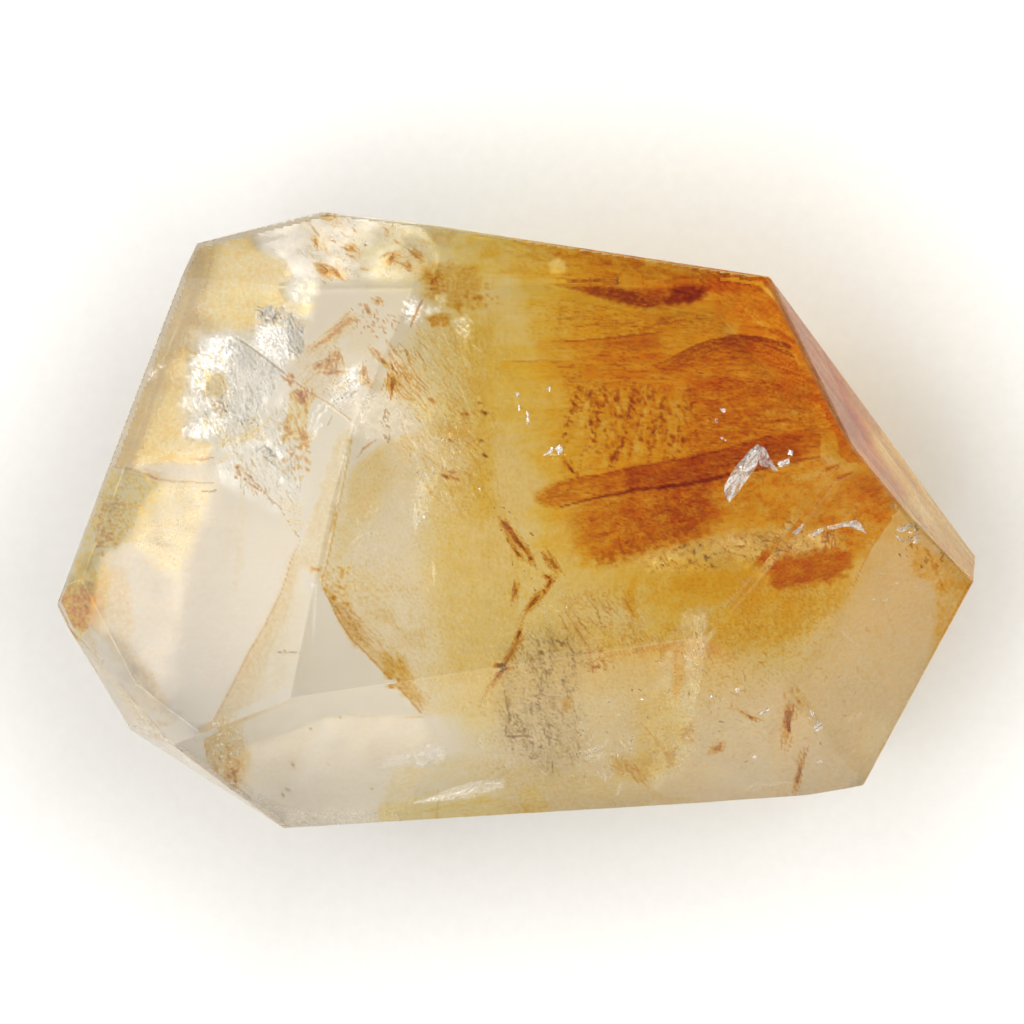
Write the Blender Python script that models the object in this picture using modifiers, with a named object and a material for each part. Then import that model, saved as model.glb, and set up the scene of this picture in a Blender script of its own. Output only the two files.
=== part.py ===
"""Clear quartz freeform: one hand-cut, polished crystal with flat facets.

The stone is a single closed solid. It starts as a square block and is ground
down the way a lapidary cuts a freeform: every facet is one flat plane, given by
the compass direction it faces, how far it leans over from level, and how far it
stands from the middle of the resting face. The long edges are then eased by the
polish with a small bevel.

Units are metres, +Z is up, the stone rests on its flat base at z = 0.
"""
import math

import bpy
import bmesh
from mathutils import Vector

# ----------------------------------------------------------------------------
# Driving dimensions
# ----------------------------------------------------------------------------
MM = 0.001
OBJECT_NAME = "clear_quartz_freeform"
BODY_NAME = "quartz_freeform"

BLOCK_SIDE = 120.0 * MM        # rough block the stone is ground from
POLISH_WIDTH = 0.28 * MM       # how far the polish eases every facet edge
POLISH_SEGMENTS = 2
POLISH_MIN_ANGLE = 4.0         # degrees; flatter facet joints stay as drawn
SLIVER = 0.1 * MM              # corners closer than this are one corner

# Facets of the crown, the girdle bevels and the underside.
# name, azimuth (deg, 0 = +X, 90 = +Y), lean from level (deg, 0 = faces up,
# 180 = faces down), distance of the plane from the middle of the base (mm)
CROWN = (
    ("table", 194.35, 3.88, 25.16),
    ("top_band", 102.17, 19.90, 30.35),
    ("top_left_band", 125.53, 25.56, 31.261),
    ("window", 164.33, 16.30, 27.69),
    ("upper_left", 164.18, 17.87, 28.06),
    ("left_upper", 170.30, 17.06, 27.63),
    ("left_lower", 173.63, 17.07, 27.64),
    ("left_tip_bevel", 215.31, 60.76, 39.29),
    ("left_corner_bevel", 238.57, 75.23, 34.322),
    ("front_face", 274.22, 41.42, 26.20),
    ("front_right", 277.30, 41.61, 26.659),
    ("right_shoulder", 316.56, 29.70, 30.99),
    ("right_lower", 319.00, 37.18, 32.23),
    ("right_bevel", 26.53, 64.87, 35.38),
)
UNDERSIDE = (
    ("under_left", 158.48, 95.99, 30.84),
    ("under_top_left", 101.25, 99.95, 24.04),
    ("under_top", 80.05, 94.92, 20.354),
    ("under_right", 41.89, 96.36, 24.70),
    ("under_right_lower", 334.11, 95.90, 33.77),
    ("under_front_right", 280.27, 91.50, 26.243),
    ("under_front", 273.34, 98.00, 22.00),
    ("under_left_corner", 234.44, 101.86, 28.456),
    ("under_left_tip", 208.63, 99.93, 32.92),
)

# Quartz look used for viewing the bare model
QUARTZ_COLOUR = (0.86, 0.80, 0.70, 1.0)
QUARTZ_IOR = 1.544
QUARTZ_ROUGHNESS = 0.03


def facet_plane(azimuth, lean, distance):
    """Point on the plane and outward normal of one facet."""
    a, t = math.radians(azimuth), math.radians(lean)
    normal = Vector((math.cos(a) * math.sin(t),
                     math.sin(a) * math.sin(t),
                     math.cos(t)))
    return normal * (distance * MM), normal


def grind(bm, azimuth, lean, distance):
    """Take away everything outside one facet plane and close the cut flat."""
    point, normal = facet_plane(azimuth, lean, distance)
    geom = bm.verts[:] + bm.edges[:] + bm.faces[:]
    cut = bmesh.ops.bisect_plane(bm, geom=geom, dist=1e-7, plane_co=point,
                                 plane_no=normal, clear_outer=True)
    rim = [e for e in cut["geom_cut"] if isinstance(e, bmesh.types.BMEdge)]
    rim = [e for e in rim if e.is_valid and e.is_boundary]
    if rim:
        bmesh.ops.edgeloop_fill(bm, edges=rim)


def quartz_material():
    mat = bpy.data.materials.new("quartz_polished")
    mat.use_nodes = True
    shader = mat.node_tree.nodes["Principled BSDF"]
    shader.inputs["Base Color"].default_value = QUARTZ_COLOUR
    shader.inputs["Roughness"].default_value = QUARTZ_ROUGHNESS
    shader.inputs["IOR"].default_value = QUARTZ_IOR
    shader.inputs["Transmission Weight"].default_value = 1.0
    mat.diffuse_color = QUARTZ_COLOUR
    return mat


def build():
    for obj in list(bpy.data.objects):
        bpy.data.objects.remove(obj, do_unlink=True)

    parts = bpy.data.collections.new(OBJECT_NAME)
    bpy.context.scene.collection.children.link(parts)

    # Rough block, standing on z = 0
    bm = bmesh.new()
    bmesh.ops.create_cube(bm, size=BLOCK_SIDE)
    bmesh.ops.translate(bm, verts=bm.verts, vec=(0.0, 0.0, BLOCK_SIDE / 2.0))

    for _name, azimuth, lean, distance in CROWN + UNDERSIDE:
        grind(bm, azimuth, lean, distance)

    # Where several facets come together in one point the cuts leave slivers
    # far smaller than the polish; close them to a single corner
    bmesh.ops.remove_doubles(bm, verts=bm.verts, dist=SLIVER)
    bmesh.ops.dissolve_degenerate(bm, edges=bm.edges, dist=SLIVER)
    bmesh.ops.recalc_face_normals(bm, faces=bm.faces)

    mesh = bpy.data.meshes.new(BODY_NAME)
    bm.to_mesh(mesh)
    bm.free()
    mesh.materials.append(quartz_material())

    body = bpy.data.objects.new(BODY_NAME, mesh)
    parts.objects.link(body)

    polish = body.modifiers.new("polished_edges", "BEVEL")
    polish.width = POLISH_WIDTH
    polish.segments = POLISH_SEGMENTS
    polish.limit_method = "ANGLE"
    polish.angle_limit = math.radians(POLISH_MIN_ANGLE)
    polish.use_clamp_overlap = True
    return body


build()
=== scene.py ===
"""Clear quartz freeform: polished shell with the stains, veils, fractures and
flakes sealed inside it. Millimetres are used for all layout, metres for meshes."""
import math
import numpy as np
import bpy, bmesh
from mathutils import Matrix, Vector


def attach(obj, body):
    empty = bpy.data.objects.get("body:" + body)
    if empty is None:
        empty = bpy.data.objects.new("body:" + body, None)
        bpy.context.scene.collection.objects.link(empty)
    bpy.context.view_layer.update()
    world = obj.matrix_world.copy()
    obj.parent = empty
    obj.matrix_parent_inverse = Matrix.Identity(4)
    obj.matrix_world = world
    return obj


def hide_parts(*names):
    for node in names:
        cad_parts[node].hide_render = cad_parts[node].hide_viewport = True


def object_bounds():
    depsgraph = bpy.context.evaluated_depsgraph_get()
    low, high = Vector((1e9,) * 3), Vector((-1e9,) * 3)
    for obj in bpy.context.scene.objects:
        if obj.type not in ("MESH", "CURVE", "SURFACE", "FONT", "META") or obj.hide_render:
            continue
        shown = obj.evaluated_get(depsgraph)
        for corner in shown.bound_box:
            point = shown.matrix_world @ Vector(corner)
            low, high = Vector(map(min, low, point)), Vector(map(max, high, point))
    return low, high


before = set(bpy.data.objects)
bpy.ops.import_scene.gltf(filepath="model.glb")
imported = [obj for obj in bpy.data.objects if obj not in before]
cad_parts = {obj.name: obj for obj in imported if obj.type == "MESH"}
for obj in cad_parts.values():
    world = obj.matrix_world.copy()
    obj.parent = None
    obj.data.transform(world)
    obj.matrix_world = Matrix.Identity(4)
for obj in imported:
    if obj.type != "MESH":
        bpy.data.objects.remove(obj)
cad_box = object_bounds()

MM = 0.001
IOR = 1.544
F_PX = 120.0 / 36.0 * 1024.0               # focal length in picture pixels
CAM = np.array([-0.613, 0.946, 297.0])      # camera, mm, looking straight down

FACETS = [
    ("table", 194.35, 3.88, 25.16),
    ("top_band", 102.17, 19.90, 30.35),
    ("top_left_band", 125.53, 25.56, 31.261),
    ("window", 164.33, 16.30, 27.69),
    ("upper_left", 164.18, 17.87, 28.06),
    ("left_upper", 170.30, 17.06, 27.63),
    ("left_lower", 173.63, 17.07, 27.64),
    ("left_tip_bevel", 215.31, 60.76, 39.29),
    ("left_corner_bevel", 238.57, 75.23, 34.322),
    ("front_face", 274.22, 41.42, 26.20),
    ("front_right", 277.30, 41.61, 26.659),
    ("right_shoulder", 316.56, 29.70, 30.99),
    ("right_lower", 319.00, 37.18, 32.23),
    ("right_bevel", 26.53, 64.87, 35.38),
    ("under_left", 158.48, 95.99, 30.84),
    ("under_top_left", 101.25, 99.95, 24.04),
    ("under_top", 80.05, 94.92, 20.354),
    ("under_right", 41.89, 96.36, 24.70),
    ("under_right_lower", 334.11, 95.90, 33.77),
    ("under_front_right", 280.27, 91.50, 26.243),
    ("under_front", 273.34, 98.00, 22.00),
    ("under_left_corner", 234.44, 101.86, 28.456),
    ("under_left_tip", 208.63, 99.93, 32.92),
    ("base", 0.00, 180.00, 0.00),
]
N_CROWN = 14


def facet_normal(az, t):
    a, tt = math.radians(az), math.radians(t)
    return np.array([math.cos(a) * math.sin(tt), math.sin(a) * math.sin(tt), math.cos(tt)])


FN = np.array([facet_normal(az, t) for _n, az, t, _d in FACETS])
FD = np.array([d for _n, _az, _t, d in FACETS])
F_NAME = [row[0] for row in FACETS]


# ---------------------------------------------------------------- noise ----
def _hash(ix, iy, seed):
    n = (ix.astype(np.uint32) * np.uint32(374761393)
         + iy.astype(np.uint32) * np.uint32(668265263)
         + np.uint32((seed * 2246822519) & 0xFFFFFFFF))
    n ^= n >> np.uint32(13)
    n *= np.uint32(1274126177)
    n ^= n >> np.uint32(16)
    return n


def vnoise(x, y, seed=0):
    """Smooth gradient noise, about -1 to 1."""
    x0, y0 = np.floor(x), np.floor(y)
    fx, fy = x - x0, y - y0
    ix, iy = x0.astype(np.int64) & 0xFFFFFF, y0.astype(np.int64) & 0xFFFFFF

    def g(i, j):
        ang = _hash(ix + i, iy + j, seed).astype(np.float64) * (2 * math.pi / 4294967296.0)
        return np.cos(ang) * (fx - i) + np.sin(ang) * (fy - j)
    sx = fx ** 3 * (fx * (6 * fx - 15) + 10)
    sy = fy ** 3 * (fy * (6 * fy - 15) + 10)
    a = g(0, 0) * (1 - sx) + g(1, 0) * sx
    b = g(0, 1) * (1 - sx) + g(1, 1) * sx
    return 1.5 * (a * (1 - sy) + b * sy)


def fbm(x, y, seed=0, octaves=4, gain=0.5):
    out, amp, tot = 0.0, 1.0, 0.0
    for o in range(octaves):
        out = out + amp * vnoise(x * 2 ** o + 17.3 * o, y * 2 ** o - 9.1 * o, seed + 31 * o)
        tot += amp
        amp *= gain
    return out / tot


def sstep(a, b, x):
    t = np.clip((x - a) / (b - a), 0, 1)
    return t * t * (3 - 2 * t)


def streaks(u, v, ang, along, across, seed, octaves=3, wave=3.0):
    """Noise drawn out along a direction, -1..1."""
    a = math.radians(ang)
    s = u * math.cos(a) + v * math.sin(a)
    t = -u * math.sin(a) + v * math.cos(a)
    t = t + wave * fbm(s / 60, t / 60, seed + 5, 2)
    return fbm(s / along, t / across, seed, octaves)


# --------------------------------------------------------- ray geometry ----
def refract(d, n, eta):
    c = -(d * n).sum(-1, keepdims=True)
    k = 1 - eta * eta * (1 - c * c)
    return eta * d + (eta * c - np.sqrt(np.maximum(k, 0))) * n


def slack(P):
    """Distance inside the nearest facet plane, mm."""
    return (FD[None, :] - P @ FN.T).min(1)


def to_px(Q):
    k = F_PX / (CAM[2] - Q[:, 2])
    return 512 + (Q[:, 0] - CAM[0]) * k, 512 - (Q[:, 1] - CAM[1]) * k


def seen(P):
    """Picture pixel at which an inside point shows through the crown facets."""
    P = np.asarray(P, float)
    bu = np.zeros(len(P)); bv = np.zeros(len(P)); bs = np.full(len(P), -1e9)
    for f in range(N_CROWN):
        n, d = FN[f], FD[f]
        dirv = P - CAM
        t = (d - CAM @ n) / (dirv @ n)
        Q = CAM + dirv * t[:, None]
        for _ in range(6):
            di = Q - CAM
            di /= np.linalg.norm(di, axis=1, keepdims=True)
            r = refract(di, n[None, :], 1 / IOR)
            tt = ((P - Q) @ n) / (r @ n)
            Q = Q + (P - Q - r * tt[:, None])
        sl = np.min(np.delete(FD, f)[None, :] - Q @ np.delete(FN, f, 0).T, axis=1)
        m = sl > bs
        u, v = to_px(Q)
        bu = np.where(m, u, bu); bv = np.where(m, v, bv); bs = np.where(m, sl, bs)
    return bu, bv


def inside(px, py, depth):
    """Points depth mm below the polished skin, seen at these picture pixels."""
    px, py, depth = np.broadcast_arrays(*[np.asarray(a, float) for a in (px, py, depth)])
    d = np.stack([(px - 512) / F_PX, -(py - 512) / F_PX, -np.ones_like(px)], -1)
    d /= np.linalg.norm(d, axis=-1, keepdims=True)
    den = d @ FN[:N_CROWN].T
    t = (FD[:N_CROWN] - CAM @ FN[:N_CROWN].T) / den
    t = np.where(den < 0, t, -1e9)
    f = t.argmax(-1)
    th = np.take_along_axis(t, f[..., None], -1)[..., 0]
    Q = CAM + d * th[..., None]
    r = refract(d, FN[f], 1 / IOR)
    return Q + r * depth[..., None], r


def lift(px, py, z):
    """Point at height z on the straight sight line of a pixel."""
    return np.stack([CAM[0] + (px - 512) * (CAM[2] - z) / F_PX,
                     CAM[1] - (py - 512) * (CAM[2] - z) / F_PX, z], -1)


def dome(px, py, k=0.35):
    """Height of a smooth dome that hugs the crown from below."""
    x, y = CAM[0] + (px - 512) * 0.0805, CAM[1] - (py - 512) * 0.0805
    z = (FD[:N_CROWN, None] - FN[:N_CROWN, :1] * x[None] - FN[:N_CROWN, 1:2] * y[None]) / FN[:N_CROWN, 2:3]
    lo = z.min(0)
    return lo - np.log(np.exp(-k * (z - lo[None])).sum(0)) / k


# --------------------------------------------------------------- canvas ----
PIG = {"gold": np.array([0.03, 0.28, 2.05]), "orange": np.array([0.08, 0.69, 3.20]),
       "brown": np.array([0.55, 1.43, 2.90]), "tan": np.array([0.16, 0.36, 1.0]),
       "peach": np.array([0.03, 0.20, 0.55]), "mauve": np.array([0.40, 0.70, 0.85]),
       "grey": np.array([1.0, 1.0, 1.0])}


def poly_dist(u, v, poly):
    """Signed distance to a polygon's outline, positive inside."""
    poly = np.asarray(poly, float)
    ins = np.zeros(u.shape, bool)
    best = np.full(u.shape, 1e9)
    for (x0, y0), (x1, y1) in zip(poly, np.roll(poly, -1, 0)):
        dx, dy = x1 - x0, y1 - y0
        t = np.clip(((u - x0) * dx + (v - y0) * dy) / (dx * dx + dy * dy + 1e-9), 0, 1)
        best = np.minimum(best, np.hypot(u - x0 - t * dx, v - y0 - t * dy))
        ins ^= ((y0 > v) != (y1 > v)) & (u < (x1 - x0) * (v - y0) / (y1 - y0 + 1e-12) + x0)
    return np.where(ins, best, -best)


def path_dist(u, v, pts):
    """Distance to a polyline and the place along it, 0..1."""
    pts = np.asarray(pts, float)
    best = np.full(u.shape, 1e9); along = np.zeros(u.shape)
    lens = np.hypot(*(pts[1:] - pts[:-1]).T)
    run, tot = 0.0, lens.sum() + 1e-9
    for i in range(len(pts) - 1):
        (ax, ay), (dx, dy) = pts[i], pts[i + 1] - pts[i]
        t = np.clip(((u - ax) * dx + (v - ay) * dy) / (dx * dx + dy * dy + 1e-9), 0, 1)
        d = np.hypot(u - ax - t * dx, v - ay - t * dy)
        m = d < best
        best = np.where(m, d, best); along = np.where(m, (run + t * lens[i]) / tot, along)
        run += lens[i]
    return best, along


SHEEN = 0.45


class Canvas:
    """Stains laid down on a film at the picture pixels where they are seen."""

    def __init__(self, u, v):
        self.u, self.v = u, v
        n = len(u)
        self.k = np.zeros((n, 3)); self.sheen = np.zeros(n); self.haze = np.zeros(n)
        key = (v // 16).astype(int) * 4096 + (u // 16).astype(int)
        self.order = np.argsort(key, kind="stable"); self.keys = key[self.order]
        self.seed = 100

    def near(self, pts, pad):
        p = np.asarray(pts, float).reshape(-1, 2)
        x0, y0 = ((p.min(0) - pad) // 16).astype(int)
        x1, y1 = ((p.max(0) + pad) // 16).astype(int)
        rows = [self.order[np.searchsorted(self.keys, r * 4096 + x0):np.searchsorted(self.keys, r * 4096 + x1, "right")]
                for r in range(y0, y1 + 1)]
        return np.concatenate(rows) if rows else np.zeros(0, int)

    def lay(self, i, w, tex=None, sheen=0.0, haze=0.0, wipe=0.0, **pig):
        if not len(i):
            return
        if tex is not None:
            w = w * np.clip(tex(self.u[i], self.v[i]), 0, None)
        if wipe:
            q = 1 - np.clip(wipe * w, 0, 1)
            self.k[i] *= q[:, None]; self.sheen[i] *= q; self.haze[i] *= q
        for name, a in pig.items():
            self.k[i] += (a * w)[:, None] * PIG[name]
        if sheen:
            self.sheen[i] = 1 - (1 - self.sheen[i]) * (1 - np.clip(SHEEN * sheen * w, 0, 1))
        if haze:
            self.haze[i] = 1 - (1 - self.haze[i]) * (1 - np.clip(haze * w, 0, 1))

    def warp(self, i, rough, scale):
        self.seed += 1
        u, v = self.u[i], self.v[i]
        if rough:
            u = u + rough * fbm(u / scale, v / scale, self.seed, 3)
            v = v + rough * fbm(self.u[i] / scale + 50, v / scale, self.seed + 700, 3)
        return u, v

    def area(self, poly, feather=4.0, rough=4.0, scale=12.0, tex=None, **p):
        i = self.near(poly, feather + rough + 2)
        u, v = self.warp(i, rough, scale)
        self.lay(i, sstep(-feather, feather, poly_dist(u, v, poly)), tex, **p)

    def line(self, pts, w, soft=0.6, rough=1.0, scale=9.0, tex=None, **p):
        """A drawn line, half width w px (a list is spread along it)."""
        i = self.near(pts, 2.5 * np.max(w) + rough + 2)
        u, v = self.warp(i, rough, scale)
        d, s = path_dist(u, v, pts)
        ww = np.interp(s, np.linspace(0, 1, len(w)), w) if np.ndim(w) else w
        ww = np.maximum(ww, 0.35)
        self.lay(i, 1 - sstep(ww * (1 - soft), ww * (1 + soft), d), tex, **p)

    def blob(self, x, y, rx, ry, ang=0.0, tex=None, rough=0.0, scale=6.0, **p):
        i = self.near([(x, y)], 2.3 * max(rx, ry) + rough)
        u, v = self.warp(i, rough, scale)
        a = math.radians(ang)
        du, dv = u - x, v - y
        s = (du * math.cos(a) + dv * math.sin(a)) / rx
        t = (-du * math.sin(a) + dv * math.cos(a)) / ry
        self.lay(i, np.exp(-(s * s + t * t) ** 1.5), tex, **p)

    def shade(self, pts, fade, side=1, rough=2.0, scale=16.0, tex=None, **p):
        """Crisp along a path and fading out over fade px to one side of it."""
        pts = np.asarray(pts, float)
        i = self.near(pts, 3.2 * np.max(fade) + rough)
        u, v = self.warp(i, rough, scale)
        d, s = path_dist(u, v, pts)
        sg = np.zeros(len(u)); best = np.full(len(u), 1e9)
        for (ax, ay), (bx, by) in zip(pts[:-1], pts[1:]):
            dx, dy = bx - ax, by - ay
            t = np.clip(((u - ax) * dx + (v - ay) * dy) / (dx * dx + dy * dy + 1e-9), 0, 1)
            q = np.hypot(u - ax - t * dx, v - ay - t * dy)
            c = dx * (v - ay) - dy * (u - ax)
            m = q < best
            sg = np.where(m, np.sign(c), sg); best = np.where(m, q, best)
        f = np.interp(s, np.linspace(0, 1, len(fade)), fade) if np.ndim(fade) else fade
        ends = sstep(0.0, 0.06, s) * (1 - sstep(0.94, 1.0, s))
        sd = d * sg * side
        self.lay(i, sstep(-0.9, 0.9, sd) * np.exp(-np.maximum(sd, 0) / f) * ends, tex, **p)

    def spots(self, poly, n, r, seed, ang=0.0, spread=180.0, aspect=1.6, **p):
        """Scattered small blots."""
        rng = np.random.default_rng(seed)
        for x, y in scatter(poly, n, rng):
            q = {k: a * rng.uniform(0.4, 1.3) if not callable(a) else a for k, a in p.items()}
            rr = rng.uniform(*r)
            self.blob(x, y, rr * aspect, rr, ang + rng.uniform(-spread, spread), **q)

    def hairs(self, poly, n, length, ang, spread, w, seed, bend=0.25, **p):
        """Scattered short strokes."""
        rng = np.random.default_rng(seed)
        for x, y in scatter(poly, n, rng):
            a = math.radians(ang + rng.uniform(-spread, spread)); L = rng.uniform(*length) / 2
            b = rng.uniform(-bend, bend) * L
            dx, dy = math.cos(a), math.sin(a)
            pts = [(x - dx * L, y - dy * L), (x - dy * b, y + dx * b), (x + dx * L, y + dy * L)]
            q = {k: v * rng.uniform(0.4, 1.3) if not callable(v) else v for k, v in p.items()}
            ww = rng.uniform(*w)
            self.line(pts, [ww * 0.5, ww, ww * 0.4], 0.6, 0.6, 5.0, **q)


def scatter(poly, n, rng):
    """n seeded points inside a polygon."""
    poly = np.asarray(poly, float)
    lo, hi = poly.min(0), poly.max(0)
    out = []
    while len(out) < n:
        p = rng.uniform(lo, hi, (n * 2, 2))
        out.extend(p[poly_dist(p[:, 0], p[:, 1], poly) > 0][: n - len(out)].tolist())
    return out


def T_fbm(sx, sy, a, b, seed, octaves=4):
    return lambda u, v: a + b * fbm(u / sx, v / sy, seed, octaves)


def T_str(ang, along, across, a, b, seed, wave=3.0):
    return lambda u, v: a + b * streaks(u, v, ang, along, across, seed, 3, wave)


def T_spot(sx, sy, lo, hi, seed, octaves=3):
    return lambda u, v: sstep(lo, hi, fbm(u / sx, v / sy, seed, octaves))


def T_vein(s, w, seed, sy=None):
    """Thin winding threads."""
    return lambda u, v: 1 - sstep(0.0, w, np.abs(fbm(u / s, v / (sy or s), seed, 3)))


def T_mul(f, g):
    return lambda u, v: np.clip(f(u, v), 0, None) * np.clip(g(u, v), 0, None)


def flow(u, v):
    """Place across the iron silk: level above, rising to the right below, bent down at the right edge."""
    t = v + (0.02 + 0.16 * sstep(395, 480, v)) * (u - 660) - 0.34 * np.maximum(u - 748, 0) * (1 - sstep(385, 455, v))
    return t + 4.5 * fbm(u / 75, v / 60, 901, 2)


def T_silk(along, across, a, b, seed, octaves=3):
    return lambda u, v: a + b * fbm(u / along, flow(u, v) / across, seed, octaves)


def T_thread(along, across, w, seed, ang=None, octaves=2, wave=3.0):
    """Fine threads along the silk, or at a set angle."""
    def f(u, v):
        if ang is None:
            s, t = u, flow(u, v)
        else:
            a = math.radians(ang)
            s, t = u * math.cos(a) + v * math.sin(a), -u * math.sin(a) + v * math.cos(a)
            t = t + wave * fbm(s / 50, t / 50, seed + 7, 2)
        return 1 - sstep(0.0, w, np.abs(fbm(s / along, t / across, seed, octaves)))
    return f


def T_ramp(x0, x1, rough=0.0, scale=20.0, seed=7, up=False):
    """Soft onset from one picture column (or row) to another."""
    return lambda u, v: sstep(x0, x1, (v if up else u) + rough * fbm(u / scale, v / scale, seed, 3))




# -------------------------------------------------------------- building ----
def link(ob):
    bpy.context.scene.collection.objects.link(ob)
    return ob


def mesh_from(name, V, faces, attrs=None):
    me = bpy.data.meshes.new(name)
    V = np.asarray(V, np.float32)
    faces = np.asarray(faces, np.int32)
    k = faces.shape[1]
    me.vertices.add(len(V)); me.vertices.foreach_set("co", V.ravel())
    me.loops.add(faces.size); me.loops.foreach_set("vertex_index", faces.ravel())
    me.polygons.add(len(faces))
    me.polygons.foreach_set("loop_start", np.arange(0, faces.size, k, dtype=np.int32))
    me.polygons.foreach_set("loop_total", np.full(len(faces), k, np.int32))
    me.update(calc_edges=True)
    for an, val in (attrs or {}).items():
        a = me.color_attributes.new(an, "FLOAT_COLOR", "POINT")
        a.data.foreach_set("color", np.asarray(val, np.float32).ravel())
    me.validate()
    return me


def piece(name, me, mat, smooth=True):
    ob = link(bpy.data.objects.new(name, me))
    me.materials.append(mat)
    if smooth:
        me.polygons.foreach_set("use_smooth", np.ones(len(me.polygons), bool))
    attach(ob, "root")
    return ob


def finish_film(name, P, q, cv, mat, density):
    used = np.unique(q)
    remap = -np.ones(len(P), int); remap[used] = np.arange(len(used))
    stain = np.concatenate([np.exp(-density * cv.k), np.clip(cv.haze, 0, 1)[:, None]], 1)[used]
    gleam = np.concatenate([np.repeat(np.clip(cv.sheen, 0, 1)[:, None], 3, 1), np.ones((len(P), 1))], 1)[used]
    return piece(name, mesh_from(name, P[used] * MM, remap[q], {"stain": stain, "gleam": gleam}), mat)


def blocks(vis, n):
    """Widen a mask of grid cells to whole tiles, so a film has no loose crumbs."""
    h, w = vis.shape
    H, W = -(-h // n) * n, -(-w // n) * n
    pad = np.zeros((H, W), bool); pad[:h, :w] = vis
    t = pad.reshape(H // n, n, W // n, n).any((1, 3))
    g = t.copy(); g[1:] |= t[:-1]; g[:-1] |= t[1:]; g[:, 1:] |= t[:, :-1]; g[:, :-1] |= t[:, 1:]
    return np.repeat(np.repeat(g, n, 0), n, 1)[:h, :w]


def sheet(name, box, z_fn, paint, step, mat, margin=0.12, outline=None, tile=8, density=1.0):
    """A curved film inside the stone. box is its picture extent, z_fn its height."""
    x0, y0, x1, y1 = box
    nx, ny = int((x1 - x0) / step) + 1, int((y1 - y0) / step) + 1
    U, V = np.meshgrid(np.linspace(x0, x1, nx), np.linspace(y0, y1, ny))
    U, V = U.ravel(), V.ravel()
    P = lift(U, V, z_fn(U, V))
    ok = slack(P) > margin
    if outline is not None:
        ok &= poly_dist(U + 5 * fbm(U / 25, V / 25, 3), V + 5 * fbm(U / 25 + 9, V / 25, 4), outline) > 0
    su, sv = seen(P)
    cv = Canvas(su, sv)
    paint(cv, P)
    idx = np.arange(nx * ny).reshape(ny, nx)
    q = np.stack([idx[:-1, :-1], idx[1:, :-1], idx[1:, 1:], idx[:-1, 1:]], -1).reshape(-1, 4)
    on = (cv.k.max(1) > 0.01) | (cv.haze > 0.01) | (cv.sheen > 0.01)
    vis = blocks((on[q].any(1) & ok[q].all(1)).reshape(ny - 1, nx - 1), tile).ravel()
    return finish_film(name, P, q[ok[q].all(1) & vis], cv, mat, density)


def facet_film(name, fname, inset, step, paint, mat, margin=0.15, tile=8, px_box=None, density=1.0):
    """A film lying just inside one facet."""
    f = F_NAME.index(fname)
    n = FN[f]
    t1 = np.cross([0, 0, 1.0], n) if abs(n[2]) < 0.99 else np.array([1.0, 0, 0])
    t1 /= np.linalg.norm(t1); t2 = np.cross(n, t1)
    o = n * (FD[f] - inset)

    def grid(a0, a1, b0, b1, s):
        A, B = np.meshgrid(np.arange(a0, a1, s), np.arange(b0, b1, s))
        return A, o + A.ravel()[:, None] * t1 + B.ravel()[:, None] * t2
    A, P = grid(-60, 60, -60, 60, 1.0)
    s = slack(P) > 0
    a, b = (P[s] - o) @ t1, (P[s] - o) @ t2
    A, P = grid(a.min() - 1, a.max() + 1, b.min() - 1, b.max() + 1, step)
    ny, nx = A.shape
    ok = slack(P) > min(margin, inset * 0.9)
    su, sv = seen(P)
    if px_box:
        ok &= (su > px_box[0]) & (su < px_box[2]) & (sv > px_box[1]) & (sv < px_box[3])
    cv = Canvas(su, sv); paint(cv, P)
    idx = np.arange(nx * ny).reshape(ny, nx)
    q = np.stack([idx[:-1, :-1], idx[:-1, 1:], idx[1:, 1:], idx[1:, :-1]], -1).reshape(-1, 4)
    on = (cv.k.max(1) > 0.01) | (cv.haze > 0.01) | (cv.sheen > 0.01)
    vis = blocks((on[q].any(1) & ok[q].all(1)).reshape(ny - 1, nx - 1), tile).ravel()
    return finish_film(name, P, q[ok[q].all(1) & vis], cv, mat, density)


def plates(name, rows, mat, seed=5, jag=0.6, sub=3):
    """Thin flakes sealed in the stone: rows of (outline px, depth mm, dip x, dip y)."""
    rng = np.random.default_rng(seed)
    V, F, C = [], [], []
    for row in rows:
        poly, depth, dx, dy = row[:4]
        poly = np.asarray(poly, float)
        pts = []
        for a, b in zip(poly, np.roll(poly, -1, 0)):
            for j in range(sub):
                p = a + (b - a) * j / sub
                pts.append(p + (rng.uniform(-jag, jag, 2) if j else 0))
        pts = np.array(pts); c = pts.mean(0)
        ring = c + (pts - c) * 0.5
        ins = []
        for P2 in (pts, ring, c[None]):
            d = depth + (P2[:, 0] - c[0]) * dx * 0.08 + (P2[:, 1] - c[1]) * dy * 0.08
            bump = 0.06 * rng.uniform(-1, 1, len(P2))
            ins.append(inside(P2[:, 0], P2[:, 1], np.maximum(d + bump, 0.25))[0])
        n = len(pts); o = len(V)
        V.extend(np.concatenate(ins).tolist())
        tone = rng.uniform(0.0, 1.0)
        C.extend([[tone, rng.uniform(0, 1), rng.uniform(0, 1), 1.0] for _ in range(2 * n + 1)])
        for j in range(n):
            k = (j + 1) % n
            F += [(o + j, o + k, o + n + k), (o + j, o + n + k, o + n + j), (o + n + j, o + n + k, o + 2 * n)]
    V = np.array(V)
    for _ in range(4):                       # keep every flake inside the skin
        gap = FD[None, :] - V @ FN.T
        f = gap.argmin(1); short = np.maximum(0.18 - gap[np.arange(len(V)), f], 0)
        V -= FN[f] * short[:, None]
    C = np.array(C); C[:, 0] = np.clip(C[:, 0], 0, 1)
    return piece(name, mesh_from(name, V * MM, F, {"tone": C}), mat, smooth=False)


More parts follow.
